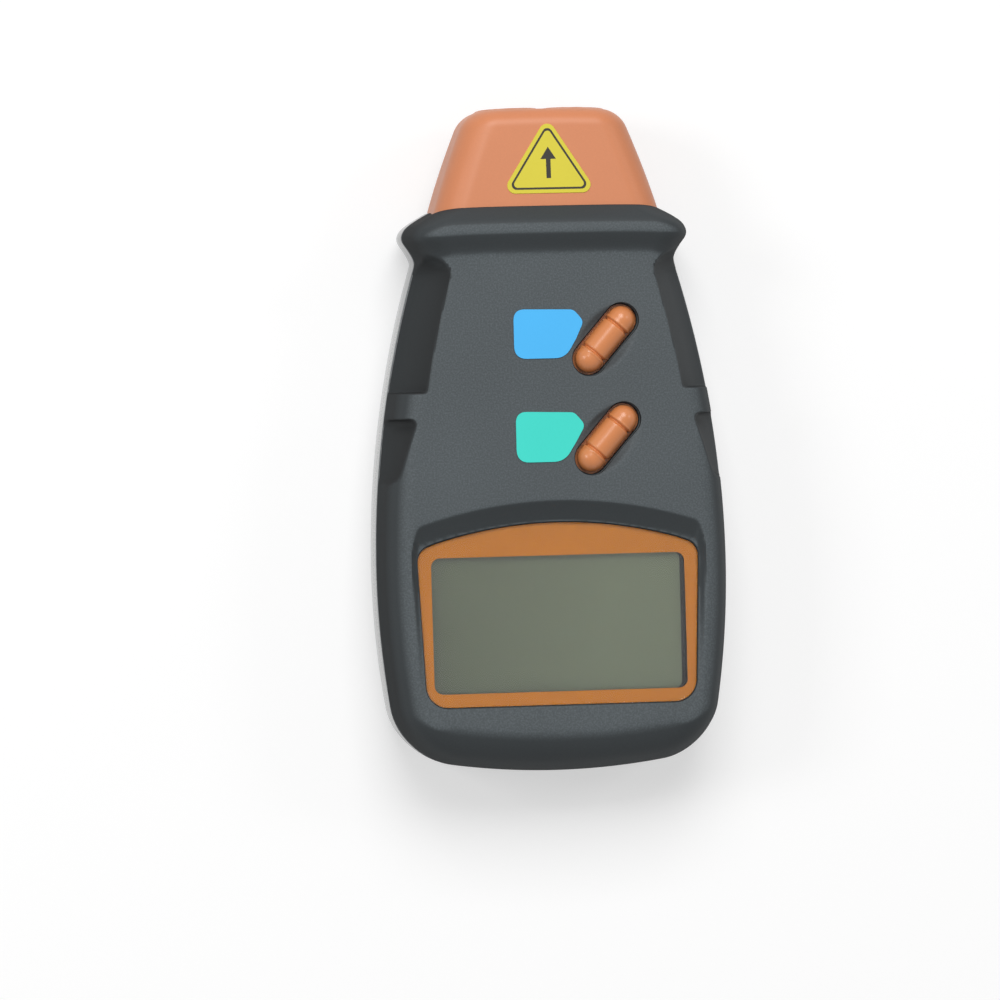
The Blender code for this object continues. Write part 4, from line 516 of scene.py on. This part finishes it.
def front_field(x, y, z):
    """Front half: the case plan and face, less the side hollows, the display panel with its brow (1.3 mm
    wide at the sides, 4.0 mm at the top), and part of an ellipsoid round each key. The last 0.25 mm
    above the parting line are rounded, so a fine seam shows."""
    high = face_height(y)
    plan, end_share = case_plan(x, y, z, 0.0, high, back_height(y))
    body = rounded(plan, z - high, 5.5 + 3.7 * end_share + 0.5 * step(y, NECK, RIM))
    upper, lower = grips(x, y, z)
    body = rounded(body, -upper, 0.35)
    body = rounded(body, -lower, 0.35)
    side, top = window_distance(x, y)
    brow = rounded((side - 0.4) / 1.3, (top - 0.4) / 4.0, 0.8)
    floor = PANEL + PANEL_RISE * (WINDOW_TOP - y)
    depth = np.maximum(FACE - floor, 0.0)
    body = rounded(body, z - floor - depth * np.maximum(brow, 0), 0.12)
    for kx, ky in KEYS.values():
        along = (x - kx) * np.cos(KEY_ANGLE) + (y - ky) * np.sin(KEY_ANGLE)
        across = (y - ky) * np.cos(KEY_ANGLE) - (x - kx) * np.sin(KEY_ANGLE)
        dish = np.sqrt((along / 9.58) ** 2 + (across / 5.54) ** 2 + ((z - FACE - 1.1) / 2.2) ** 2) - 1
        body = rounded(body, -1.6 * dish, 0.10)
    rest = 1 - np.clip((z - PARTING - 0.05) / 0.25, 0, 1)
    seam = 0.25 * (1 - np.sqrt(1 - rest ** 2))
    return rounded(np.maximum(body, plan + seam), y - MOUTH, 0.3)


def fine_rows(stops):
    """Row places from (place, spacing up to the next stop) pairs; the last place closes the rows."""
    runs = [np.arange(a, b, -spacing) for (a, spacing), (b, _) in zip(stops, stops[1:])]
    return np.concatenate(runs + [[stops[-1][0]]])


front_rows = fine_rows([(MOUTH, 0.07), (44.8, 0.3), (34.5, 0.6), (10.3, 0.12), (9.2, 0.4), (4.9, 0.15),
                        (3.0, 0.6), (-10.0, 0.35), (-18.0, 0.6), (FAN_START, 1.0)])
front_outline, front_pivots = plan_outline(front_rows, 170)
angle = np.linspace(0, np.pi / 2, 44)
wall_heights = [*np.linspace(20.9, 16.5, 14), 16.3, 16.22, 16.15, 16.1, 16.05, 15.9, 15.5, 15.0]
front_profile = np.concatenate([
    np.stack([np.linspace(0, 0.79, 58), np.full(58, FACE)], 1),
    np.stack([0.8 + 0.2 * np.sin(angle), 21.2 + 6 * np.cos(angle)], 1),
    np.stack([np.ones(22), wall_heights], 1)])
shell = ray_grid(front_field, front_outline, front_pivots, 8.0, front_profile, 0.8)
# The collar's face bows 0.8 mm towards the nose in the middle, and fades towards its sides and foot.
middle = (1 - (shell[..., 0] / 27) ** 4).clip(0)
shell[..., 1] += 0.8 * middle * step(shell[..., 1], 31.5, 36.0) * step(shell[..., 2], 19, 26)
# The grid runs down past the parting line and in to the middle, where the cut below ends it.
underside = 14.0
under = shell[:, -1:].copy()
under[..., 2] = underside
centre = np.stack([np.zeros(len(front_pivots)), front_pivots, np.full(len(front_pivots), underside)], 1)
shell = np.concatenate([shell, under, centre[:, None, :]], 1)
front_body = grid_solid("front_body", shell, around=False)


def front_room(x, y, z):
    """Room in the front shell: 2 mm inside the sides, leaning in behind the grips, under the face or the
    sunken panel, and ending 4 mm under the parting line."""
    under_panel = PANEL + PANEL_RISE * (WINDOW_TOP - y) - 2.0
    ceiling = np.minimum(face_height(y) - WALL, under_panel + 20 * step(y, -14.4, -8.0))
    plan, end_share = case_plan(x, y, z, WALL, ceiling, 0.0)
    lean = 3.9 * step(y, -14.7, -4.3) * (1 - step(y, 30.0, COLLAR)) * np.clip((z - PARTING) / 7, 0, 1)
    room = rounded(rounded(plan + lean, z - ceiling, 4.5 + 3 * end_share), y - ROOM_END, 0.5)
    return rounded(room, 12.0 - z, 0.3)


front_cavity = ray_solid("front_cavity", front_room, *room_plan, 16.0,
                         section_profile(25.0, 12.0, 4.5, (10, 6, 6, 2), 0.5))


def capsule_outline(length, width, steps=24):
    """Outline along X of two half circles, as (x, y) points."""
    angle = np.linspace(-np.pi / 2, np.pi / 2, steps + 1)
    right = np.stack([(length - width) / 2 + width / 2 * np.cos(angle), width / 2 * np.sin(angle)], 1)
    return np.concatenate([right, -right])


def lofted(name, outlines, heights):
    """Closed solid through flat outlines with equal numbers of points, each at its own height."""
    return grid_solid(name, np.stack([np.column_stack([line, np.full(len(line), height)])
                                      for line, height in zip(outlines, heights)]))


def placed(mesh, matrix):
    """Mesh moved to its place by a matrix."""
    mesh.transform(matrix)
    return mesh


def key_matrix(name, height):
    """From a key's own axes, along and across it, to its place on the case at the given height."""
    x, y = KEYS[name]
    return Matrix.Translation((x * MM, y * MM, height * MM)) @ Matrix.Rotation(KEY_ANGLE, 4, "Z")


def key_hole(name):
    """Hole for a key, with 0.4 mm all round: capsules that grow by a quarter circle of 0.35 mm towards
    the face, which rounds the lip over."""
    angle = np.linspace(0, np.pi / 2, 6)[1:]
    grow = [0, 0, *(0.35 - 0.35 * np.cos(angle)), 0.35]
    height = [-6, -1.55, *(0.35 * np.sin(angle) - 1.55), 4]
    outlines = [capsule_outline(16.2 + 2 * g, 6.3 + 2 * g) for g in grow]
    return placed(lofted(f"{name}_hole", outlines, height), key_matrix(name, FACE))


def corner_arc(back, here, ahead, radius, steps):
    """Arc that rounds a corner: its middle lies on the line that halves the corner, the radius away
    from both edges."""
    a = (back - here) / np.linalg.norm(back - here)
    b = (ahead - here) / np.linalg.norm(ahead - here)
    half_angle = np.arccos(np.clip(a @ b, -1, 1)) / 2
    reach = radius / np.tan(half_angle)
    middle = here + (a + b) / np.linalg.norm(a + b) * radius / np.sin(half_angle)
    start, end = (np.arctan2(*(here + edge * reach - middle)[::-1]) for edge in (a, b))
    swing = (end - start + np.pi) % (2 * np.pi) - np.pi
    angle = start + swing * np.linspace(0, 1, steps + 1)
    return middle + radius * np.stack([np.cos(angle), np.sin(angle)], 1)


def window_outline(grow=0.0, arch=40, corner=10):
    """Window outline in its own plane, from the lower left round to the upper left: straight sides that
    draw in towards the bottom, a top that is a parabola, and four rounded corners."""
    half, low = WINDOW_HALF + grow, WINDOW_HALF - WINDOW_TAPER + grow
    bottom = -WINDOW_HEIGHT - grow
    top_radius, low_radius = 3.2 + grow, 4.3 + grow
    u = np.linspace(1, -1, arch + 1)
    top = np.stack([half * u, grow - WINDOW_ARCH * u ** 2], 1)
    left, right = np.array([-low, bottom]), np.array([low, bottom])
    beside = arch // 6
    between = top[1:-1][np.abs(top[1:-1, 0]) < half - top_radius]
    return np.concatenate([
        corner_arc(top[-1], left, right, low_radius, corner),
        corner_arc(left, right, top[0], low_radius, corner),
        corner_arc(right, top[0], top[beside], top_radius, corner), between,
        corner_arc(top[-1 - beside], top[-1], left, top_radius, corner)])


def rounded_box(low, high, radius, steps=8):
    """Outline of a box with rounded corners: a circle whose quarters are moved out to the corners."""
    angle = np.linspace(0, 2 * np.pi, 4 * steps, endpoint=False) + np.pi / 4 / steps
    middle = (np.asarray(low) + high) / 2
    reach = (np.asarray(high) - low) / 2 - radius
    ring = np.stack([np.cos(angle), np.sin(angle)], 1)
    return middle + np.sign(ring) * reach + ring * radius


PANEL_MATRIX = (Matrix.Translation((0, WINDOW_TOP * MM, PANEL * MM))
                @ Matrix.Rotation(-np.arctan(PANEL_RISE), 4, "X"))
seat = placed(lofted("seat", [window_outline(grow) for grow in (0.15, 0.15, 0.30, 0.30)],
                     [-1.3, -0.15, 0.0, 5.0]), PANEL_MATRIX)
opening_low, opening_high = np.array([-25.2, -49.6]), np.array([25.2, -22.8])
opening = lofted("opening", [rounded_box(opening_low, opening_high, 1.8)] * 2, [15.0, 30.0])
below = block("below", [-50, -80, 0], [50, 60, PARTING + 0.05])
front_mesh = carved("front_case", front_body, cutters=[key_hole(name) for name in KEYS] + [
    seat, opening, nose_sleeve("front_mouth", (38.0, 50.0), 0.3, 6.3), front_cavity, below])
front = object_of("front_case", smooth(front_mesh))
# Points within 0.3 mm of a finger hollow's surface are marked for painted shade, which darkens their
# colour: fully on the left, where the hollows face away from the light, and by half on the right.
spots = np.empty(len(front_mesh.vertices) * 3)
front_mesh.vertices.foreach_get("co", spots)
upper, lower = grips(*(spots.reshape(-1, 3).T / MM))
painted_hollow_shade = 1 - step(np.minimum(np.abs(upper), np.abs(lower)), 0.08, 0.3)
painted_hollow_shade *= np.where(spots[::3] > 0, 0.5, 1.0)
front_mesh.attributes.new("painted_hollow_shade", "FLOAT", "POINT").data.foreach_set("value", painted_hollow_shade)
# ABS from a spark-eroded mould: the flat face carries a fine grain with pale flecks, and on the steep
# places, where the mould was polished for release, the grain is shallower. There the colour is painted
# darker as shade, by about half on slopes and more on upright walls. The grain is drawn 0.34 mm across,
# about three times as coarse as such a surface has, so that it shows.
front_abs, shader = new_material("front_abs", IOR=1.53, Specular_IOR_Level=0.22)
place = add(front_abs, "TexCoord").outputs
facing = add(front_abs, "SeparateXYZ", Vector=place["Normal"]).outputs
fall = add(front_abs, "Math", {"operation": "ABSOLUTE"}, i0=facing["Y"])
level_y = add(front_abs, "MapRange", soft, Value=fall, From_Min=0.36, From_Max=0.10)
level_z = add(front_abs, "MapRange", soft, Value=facing["Z"], From_Min=0.72, From_Max=0.98)
flat = add(front_abs, "Math", multiply, i0=level_y, i1=level_z)
pits = add(front_abs, "TexNoise", Vector=place["Object"], Scale=1000 / 0.34, Detail=2.0, Roughness=0.6)
flecks = add(front_abs, "MapRange", Value=pits, From_Min=0.42, From_Max=0.70, To_Min=0.94, To_Max=1.34)
# Painted shade: colour on surfaces that slope away from the face drops to about half.
slope_shade = add(front_abs, "MapRange", Value=pits, From_Min=0.3, From_Max=0.7, To_Min=0.45, To_Max=0.50)
# The mix holds the pale flecks of the flat face and the painted shade of the slopes.
grain = add(front_abs, "Mix", Factor=flat, A=slope_shade, B=flecks)
clouds = add(front_abs, "TexNoise", Vector=place["Object"], Scale=45.0, Detail=1.0)
drift = add(front_abs, "MapRange", Value=clouds, From_Min=0.3, From_Max=0.7, To_Min=0.96, To_Max=1.04)
# Painted shade: upright walls are painted darker still.
wall_shade = add(front_abs, "MapRange", Value=facing["Z"], From_Min=0.1, From_Max=0.62, To_Min=0.36, To_Max=1.0)
# Painted shade in the finger hollows: their colour drops to 0.55 where the mark is full.
hollow_shade_mask = add(front_abs, "Attribute", {"attribute_name": "painted_hollow_shade"}).outputs["Fac"]
hollow_shade_level = add(front_abs, "MapRange", Value=hollow_shade_mask, To_Min=1.0, To_Max=0.55)
level = grain
for factor in (drift, wall_shade, hollow_shade_level):
    level = add(front_abs, "Math", multiply, i0=level, i1=factor)
tint = add(front_abs, "VectorMath", scale, i0=linear("505659")[:3], Scale=level)
rough = add(front_abs, "MapRange", Value=facing["Z"], From_Min=0.1, From_Max=0.55, To_Min=0.85, To_Max=0.58)
depth = add(front_abs, "MapRange", Value=flat, To_Min=0.15, To_Max=1.0)
bump = add(front_abs, "Bump", Distance=0.03 * MM, Height=pits, Strength=depth)
feed(shader, Base_Color=tint, Roughness=rough, Normal=bump)
front.data.materials.append(front_abs)
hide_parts("front_shell")
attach(front, "case")

# Nose cap. An orange ABS cap with a satin surface, held by its flange inside the collar. Its tip has
# two round lens holes in slightly raised bezels.
LENS_X = 6.75
NOSE_WALL = 1.8
TIP = 65.2
FLANGE = (40.0, 41.5)


def nose_field(x, y, z, inset):
    """Box that draws in towards the tip on all sides, with sides that bow by 0.35 mm, 6 mm edges, a
    bulging tip with a 3.2 mm edge and, on the outside, a bezel 0.3 mm high round each lens hole."""
    t = (y - MOUTH) / NOSE_LENGTH
    side = np.abs(x) - (nose_half(y) - inset) - 0.35 * (1 - (2 * np.clip(t, 0, 1) - 1) ** 2)
    face = np.abs(z - NOSE_Z) - (nose_tall(y) - inset)
    body = rounded(side, face, 6.0 - inset)
    bezel = 0.3 * step(6.6 - np.hypot(np.abs(x) - LENS_X, z - NOSE_Z), 0.0, 0.8)
    tip = y - (TIP - inset * 1.3 - 0.0018 * x ** 2 + bezel * (inset == 0))
    return rounded(body, tip, 3.2 - inset)


def nose_solid(name, rows, fan, profile, inset):
    """Closed mesh of the nose's form, drawn in by the inset."""
    plan = plan_outline(rows, fan, nose_half, (19, 13.5), 1)
    return ray_solid(name, lambda x, y, z: nose_field(x, y, z, inset), *plan, NOSE_Z, profile)


nose_body = nose_solid("nose_body", np.arange(41.7, 52.0, 0.5), 120,
                       section_profile(25.5, 3.5, 6.0, (36, 12, 16, 36), 6.0), 0.0)
nose_cavity = nose_solid("nose_cavity", [40.0, 46.0, 52.0], 40,
                         section_profile(23.7, 5.3, 4.0, (8, 5, 6, 8), 4.0), NOSE_WALL)
flange = nose_sleeve("flange", FLANGE, 0.6, 6.0)
holes = []
for side, hole in ((-1, 3.6), (1, 4.8)):
    bore = [(0, 55), (hole + 0.8, 55), (hole + 0.8, 64.2), (hole, 64.2), (hole, 65.1), (hole + 0.35, 65.5),
            (hole + 0.35, 70), (0, 70)]
    holes.append(turned("lens_hole", bore, (side * LENS_X, 0, NOSE_Z), "Y"))
nose_mesh = carved("nose_cover", nose_body, cutters=[nose_cavity] + holes, added=[flange])


def moulded(name, code, roughness, grain, depth, fine, gloss=0.3):
    """Moulded plastic: its colour with faint flow clouds about 17 mm across, and a grain of the given
    size and depth in millimetres, which tints the colour by a tenth of the given fineness."""
    material, shader = new_material(name, Roughness=roughness, IOR=1.53, Specular_IOR_Level=gloss)
    place = add(material, "TexCoord").outputs
    clouds = add(material, "TexNoise", Vector=place["Object"], Scale=60.0, Detail=2.0)
    shade = add(material, "MapRange", Value=clouds, From_Min=0.3, From_Max=0.7, To_Min=0.98, To_Max=1.02)
    pits = add(material, "TexNoise", Vector=place["Object"], Scale=1000 / grain, Detail=3.0, Roughness=0.6)
    speck = add(material, "MapRange", Value=pits, From_Min=0.25, From_Max=0.75,
                To_Min=1 - 0.10 * fine, To_Max=1 + 0.10 * fine)
    level = add(material, "Math", multiply, i0=shade, i1=speck)
    tint = add(material, "VectorMath", scale, i0=linear(code)[:3], Scale=level)
    bump = add(material, "Bump", Strength=1.0, Distance=depth * MM, Height=pits)
    feed(shader, Base_Color=tint, Normal=bump)
    return material


# ABS in orange from a finely blasted mould: satin, with a grain 0.35 mm across that hardly shows.
orange_abs = moulded("orange_abs", "d4865c", 0.42, 0.35, 0.008, 0.25, gloss=0.4)
nose = object_of("nose_cover", smooth(nose_mesh), orange_abs)
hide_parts("nose_cap")
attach(nose, "case")

# Laser window and receiver lens. Clear acrylic: a flat disc before the laser and a domed lens before
# the photodiode, both seated from inside.
optical_acrylic = new_material("optical_acrylic", Base_Color=linear("f4f6f6"), Roughness=0.04, IOR=1.49,
                               Transmission_Weight=1.0)[0]
SEAT_BACK, SEAT_FRONT = 62.8, 63.8
angle = np.linspace(0, np.pi / 2, 14)
dome = np.stack([4.45 * np.cos(angle), 63.9 + 0.98 * np.sin(angle)], 1)
disc_profile = [(0, SEAT_BACK), (4.1, SEAT_BACK), (4.1, SEAT_FRONT), (4.0, 63.9), (0, 63.9)]
lens_profile = [(0, SEAT_BACK), (5.3, SEAT_BACK), (5.3, SEAT_FRONT), (5.2, 63.9), *dome]
for name, profile, x, node in (("laser_glass", disc_profile, -LENS_X, "laser_window"),
                               ("lens_glass", lens_profile, LENS_X, "receiver_lens")):
    piece = object_of(name, smooth(turned(name, profile, (x, 0, NOSE_Z), "Y")), optical_acrylic)
    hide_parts(node)
    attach(piece, "case")

# Display. A liquid crystal panel in its black frame, an orange printed film with a cut-out over it,
# and a clear acrylic window that closes the sunken panel with a hairline gap.
glass_low, glass_high = box_of("display_glass")
glass_high[0] += 1.15
frame_low, frame_high = box_of("display_frame")
# Glass with a grey-green polariser, with painted shading that makes it a little darker towards the left.
lcd, shader = new_material("liquid_crystal_glass", Roughness=0.30, IOR=1.50, Coat_Weight=0.15,
                           Coat_Roughness=0.15)
place = add(lcd, "TexCoord").outputs
across = add(lcd, "SeparateXYZ", Vector=place["Object"]).outputs
# Painted shading: the colour runs darker towards the left.
painted_shade_ramp = add(lcd, "MapRange", Value=across["X"], From_Min=-25 * MM, From_Max=10 * MM)
tone = add(lcd, "Mix", colours, Factor=painted_shade_ramp, A=linear("48513c"), B=linear("5b644d"))
feed(shader, Base_Color=tone.outputs["Result"])
lcd_line = rounded_box(glass_low[:2], glass_high[:2], 1.2)
lcd_mesh = lofted("display_panel", [lcd_line] * 2, [glass_low[2], glass_high[2]])
lcd_piece = object_of("display_panel", smooth(lcd_mesh), lcd)
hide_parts("display_glass")
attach(lcd_piece, "case")


def ring_between(name, outer, inner, low, high):
    """Flat ring between two outlines with equal numbers of points, with thickness."""
    return lofted(name, [outer, outer, inner, inner, outer], [low, high, high, low, low])


def matched(outer, low, high, radius):
    """Inner outline with one point for each outer point, where the ray from there to the middle meets a
    box with rounded corners, found by halving 30 times."""
    middle = (np.asarray(low) + high) / 2
    reach = (np.asarray(high) - low) / 2
    ray = outer - middle
    near, far = np.zeros(len(ray)), np.ones(len(ray))
    for _ in range(30):
        half = (near + far) / 2
        beyond = np.abs(ray * half[:, None]) - reach + radius
        inside = np.hypot(*np.maximum(beyond, 0).T) + np.minimum(beyond.max(1), 0) < radius
        near, far = np.where(inside, half, near), np.where(inside, far, half)
    return middle + ray * near[:, None]


tub_line = rounded_box(frame_low[:2], frame_high[:2], 1.2, steps=16)
tub_hole = matched(tub_line, glass_low[:2] - 0.15, glass_high[:2] + 0.15, 0.4)
tub = ring_between("display_tub", tub_line, tub_hole, frame_low[2], frame_high[2])
mask_line = rounded_box(frame_low[:2], frame_high[:2], 4.0, steps=24)
mask_hole = matched(mask_line, [-26.2, -49.8], [glass_high[0] - 0.1, -22.6], 1.7)
mask = ring_between("display_mask", mask_line, mask_hole, glass_high[2], glass_high[2] + 0.06)
for name, mesh in (("display_tub", tub), ("display_mask", mask)):
    piece = object_of(name, smooth(mesh), finishes["frame_plastic"])
    if name == "display_tub":
        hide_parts("display_frame")
    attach(piece, "case")

# Polyester film printed in orange on its back: smooth and nearly matt under the window.
film_line = window_outline(arch=80, corner=16)
film_hole = matched(film_line, opening_low - [0, WINDOW_TOP], opening_high - [0, WINDOW_TOP], 1.8)
film_mesh = placed(ring_between("border_film", film_line, film_hole, -1.25, -1.05), PANEL_MATRIX)
orange_film = moulded("orange_film", "b06900", 0.40, 0.6, 0.002, 0.1, gloss=0.15)
film = object_of("border_film", smooth(film_mesh), orange_film)
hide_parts("window_border")
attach(film, "case")

# Cast acrylic, clear and flat, with 0.12 mm bevels. Its IOR is set below the real 1.49, which keeps
# the lamp's reflection as faint as the photograph's soft light gives it.
pane_mesh = lofted("window_pane", [window_outline(grow) for grow in (-0.12, 0.0, 0.0, -0.12)],
                   [-1.0, -0.88, -0.12, 0.0])
pane_acrylic = new_material("window_acrylic", Base_Color=linear("ffffff"), Roughness=0.05, IOR=1.36,
                            Transmission_Weight=1.0)[0]
pane = object_of("window_pane", smooth(placed(pane_mesh, PANEL_MATRIX)), pane_acrylic)
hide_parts("display_window")
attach(pane, "case")

# Keys. Capsule-shaped ABS keys that stand proud of their dishes, each with two turned grooves, on a
# skirt and a flange that keep them in the case. The plastic is as the nose's, and a little glossier.
KEY_LENGTH = 15.4
KEY_RADIUS = 2.75
KEY_Z = 26.1
SKIRT = 2.0  # depth of the skirt under the key's middle
key_abs = moulded("key_abs", "d78650", 0.27, 0.30, 0.004, 0.25, gloss=0.5)


def key_body(name):
    """Capsule as a profile turned half round its length, over a straight skirt of 0.86 of its width and
    0.95 of its length. Each groove is a bell curve 0.50 mm deep, with a bead of 0.10 mm beside it."""
    reach = KEY_LENGTH / 2 - KEY_RADIUS
    end = np.linspace(0, np.pi / 2, 22)
    u = np.linspace(-1.0, 1.0, 26)
    groove = 0.10 * np.exp(-((u + 0.5) / 0.22) ** 2) - 0.50 * np.exp(-(u / 0.26) ** 2)
    right = np.concatenate([
        np.stack([reach + KEY_RADIUS * np.cos(end), KEY_RADIUS * np.sin(end)], 1),
        np.stack([reach - 1.5 - u, KEY_RADIUS + groove], 1)])
    profile = np.concatenate([right, (right * [-1, 1])[::-1]])
    turn = np.concatenate([[-np.pi / 2], np.linspace(0, np.pi, 41), [1.5 * np.pi]])
    place, rim = profile[:, :1], profile[:, 1:]
    skirt = (turn < 0) | (turn > np.pi)
    across = rim * np.cos(np.clip(turn, 0, np.pi)) * np.where(skirt, 0.86, 1.0)
    height = np.where(skirt, -SKIRT, rim * np.sin(turn))
    return grid_solid(name, np.stack([place * np.where(skirt, 0.95, 1.0), across, height], -1))


for name in KEYS:
    flange = lofted("flange", [capsule_outline(17.8, 7.9)] * 2, [-SKIRT, -SKIRT + 0.8])
    body = carved(f"{name}_cap", key_body(f"{name}_cap"), added=[flange])
    key = object_of(f"{name}_cap", smooth(placed(body, key_matrix(name, KEY_Z)), 50), key_abs)
    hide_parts(f"{name}_button")
    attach(key, f"{name}_key")

# Coloured fields beside the keys. Thin printed polyester labels glued to the face, with rounded
# corners and a slanted right side that follows the key. Each corner is (x, y, radius).
fields = {
    "memory": ("51bfff", [(-8.0, 25.65, 2.2), (-8.0, 15.9, 2.6), (2.1, 15.9, 4.0), (4.3, 19.6, 4.0),
                          (5.9, 23.1, 1.6), (3.9, 25.4, 1.8)]),
    "test": ("45e2d2", [(-8.0, 5.55, 2.2), (-8.0, -4.45, 2.6), (1.5, -4.45, 4.0), (4.0, -0.4, 4.0),
                        (5.75, 2.7, 1.6), (3.6, 5.2, 1.8)])}


def field_outline(corners):
    """Outline with each corner bent into a parabola that touches both edges where an arc of the corner's
    radius would, but within 0.48 of the shorter edge."""
    line = []
    for i, (x, y, radius) in enumerate(corners):
        here = np.array([x, y])
        back = np.array(corners[i - 1][:2]) - here
        ahead = np.array(corners[(i + 1) % len(corners)][:2]) - here
        limit = min(np.linalg.norm(back), np.linalg.norm(ahead)) * 0.48
        back, ahead = back / np.linalg.norm(back), ahead / np.linalg.norm(ahead)
        reach = min(radius / np.tan(np.arccos(back @ ahead) / 2), limit)
        t = np.linspace(0, 1, 10)[:, None]
        start, end = here + back * reach, here + ahead * reach
        line.append((1 - t) ** 2 * start + 2 * t * (1 - t) * here + t ** 2 * end)
    return np.concatenate(line)


for name, (code, corners) in fields.items():
    mesh = lofted(f"{name}_label", [field_outline(corners)] * 2, [FACE + 0.05, FACE + 0.2])
    ink = moulded(f"{name}_print", code, 0.45, 0.4, 0.004, 0.1)
    label = object_of(f"{name}_label", smooth(mesh), ink)
    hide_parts(f"{name}_field")
    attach(label, "case")

# Nose label. A die-cut yellow vinyl triangle with rounded corners, glued to the sloping top of the
# nose, with a printed dark keyline and a plain arrow that shows where the beam leaves.
LABEL_Y = 54.9
LABEL_Z = NOSE_Z + nose_tall(MOUTH + NOSE_LENGTH / 2) + 0.02
LABEL_MATRIX = (Matrix.Translation((0, LABEL_Y * MM, LABEL_Z * MM))
                @ Matrix.Rotation(-np.arctan(NOSE_FALL / NOSE_LENGTH), 4, "X"))


def triangle_outline(inset, radius):
    """Triangle 16.0 mm wide and 13.1 mm high over its rounded corners, drawn in by the inset: the corners
    move towards the middle of the circle that touches all three sides."""
    corners = np.array([[-9.6, -6.55], [9.6, -6.55], [0, 8.55]])
    across = np.linalg.norm(np.roll(corners, -1, 0) - np.roll(corners, 1, 0), axis=1)
    middle = across @ corners / across.sum()
    corners = middle + (corners - middle) * (1 - inset / (middle - corners[0])[1])
    return np.concatenate([corner_arc(corners[i - 1], corners[i], corners[(i + 1) % 3], radius, 11)
                           for i in range(3)])


vinyl = lofted("nose_label", [triangle_outline(inset, 1.6 - inset) for inset in (0.05, 0.0, 0.0, 0.05)],
               [-0.15, -0.1, 0.12, 0.16])
keyline = ring_between("label_keyline", triangle_outline(0.75, 1.0), triangle_outline(1.15, 0.7), 0.12, 0.175)
arrow_line = np.array([[-0.45, -3.6], [0.45, -3.6], [0.45, 0.2], [1.55, 0.2], [0, 2.6], [-1.55, 0.2],
                       [-0.45, 0.2]])
arrow = lofted("label_arrow", [arrow_line] * 2, [0.12, 0.175])
# Vinyl printed in a strong yellow: smooth, a little glossy. The ink is matt and nearly black.
yellow_vinyl = moulded("yellow_vinyl", "dccf3e", 0.35, 0.5, 0.002, 0.1)
black_ink = moulded("black_ink", "2b2822", 0.5, 0.5, 0.001, 0.2)
for name, mesh, finish in (("nose_label", vinyl, yellow_vinyl), ("label_keyline", keyline, black_ink),
                           ("label_arrow", arrow, black_ink)):
    label = object_of(name, smooth(placed(mesh, LABEL_MATRIX)), finish)
    if name == "nose_label":
        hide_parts("nose_sticker")
    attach(label, "case")

# Floor. A pale painted floor under the lying tachometer. The camera, glass and gloss see it brighter
# than it lights the object, so the ground stays pale and keeps the shadow.
floor_corners = [(x, y, -0.02) for x, y in ((-900, -900), (900, -900), (900, 900), (-900, 900))]


def seen_by_eye(owner):
    """1 for camera, transmission and glossy rays, 0 for the rest."""
    rays = add(owner, "LightPath").outputs
    most = {"operation": "MAXIMUM"}
    seen = add(owner, "Math", most, i0=rays["Is Camera Ray"], i1=rays["Is Transmission Ray"])
    return add(owner, "Math", most, i0=seen, i1=rays["Is Glossy Ray"])


floor_paint, shader = new_material("floor_paint", Roughness=0.9, Emission_Color=linear("ffffff"))
seen = seen_by_eye(floor_paint)
tone = add(floor_paint, "Mix", colours, Factor=seen, A=(0.30, 0.30, 0.30, 1), B=(0.55, 0.55, 0.55, 1))
glow = add(floor_paint, "Math", multiply, i0=seen, i1=0.50)
feed(shader, Base_Color=tone.outputs["Result"], Emission_Strength=glow)
floor = object_of("floor", mesh_of("floor", floor_corners, [(0, 1, 2, 3)]), floor_paint)

# Light. A white room that fills the shadows, a broad soft lamp beyond the nose, out of the window's
# mirror direction, and two small ones that model the sides. Each lamp is (place, size, watts), in metres.
world = bpy.data.worlds.new("studio")
bpy.context.scene.world = world
world.use_nodes = True
level = add(world, "MapRange", Value=seen_by_eye(world), To_Min=0.27, To_Max=1.0)
feed(world.node_tree.nodes["Background"], Color=linear("ffffff"), Strength=level)
lamps = {"overhead": ((-0.10, 0.95, 1.35), 0.90, 17.0), "soft_left": ((-1.05, 0.30, 0.95), 0.4, 4.0),
         "soft_right": ((1.00, 0.45, 0.90), 0.3, 1.3)}
for name, (place, size, power) in lamps.items():
    lamp = bpy.data.lights.new(name, "AREA")
    lamp.size = size
    lamp.energy = power
    light = bpy.data.objects.new(name, lamp)
    light.location = place
    light.rotation_euler = Vector(place).to_track_quat("Z", "Y").to_euler()
    bpy.context.scene.collection.objects.link(light)

# Camera. A long lens nearly straight above, turned a few degrees as the photograph shows the case, at
# a distance in millimetres that was fitted to the outline.
DISTANCE = 1344.0
PIXELS_PER_MM = 5.0418
MIDDLE_Z = 14
yaw, pitch, roll = np.radians([7.98, 0.93, 1.387])
turn = Matrix.Rotation(roll, 3, "Z") @ Matrix.Rotation(pitch, 3, "X") @ Matrix.Rotation(yaw, 3, "Y")
spot = turn.transposed() @ Vector((-9.28, -12.12, DISTANCE)) + Vector((0, 0, MIDDLE_Z))
lens_data = bpy.data.cameras.new("camera")
lens_data.sensor_width = 36.0
lens_data.lens = lens_data.sensor_width * PIXELS_PER_MM * DISTANCE / 1000
lens_data.clip_start, lens_data.clip_end = 0.01, 20.0
camera = bpy.data.objects.new("camera", lens_data)
bpy.context.scene.collection.objects.link(camera)
camera.matrix_world = Matrix.Translation(spot * MM) @ turn.transposed().to_4x4()
bpy.context.scene.camera = camera
bpy.context.scene.view_settings.view_transform = "Standard"
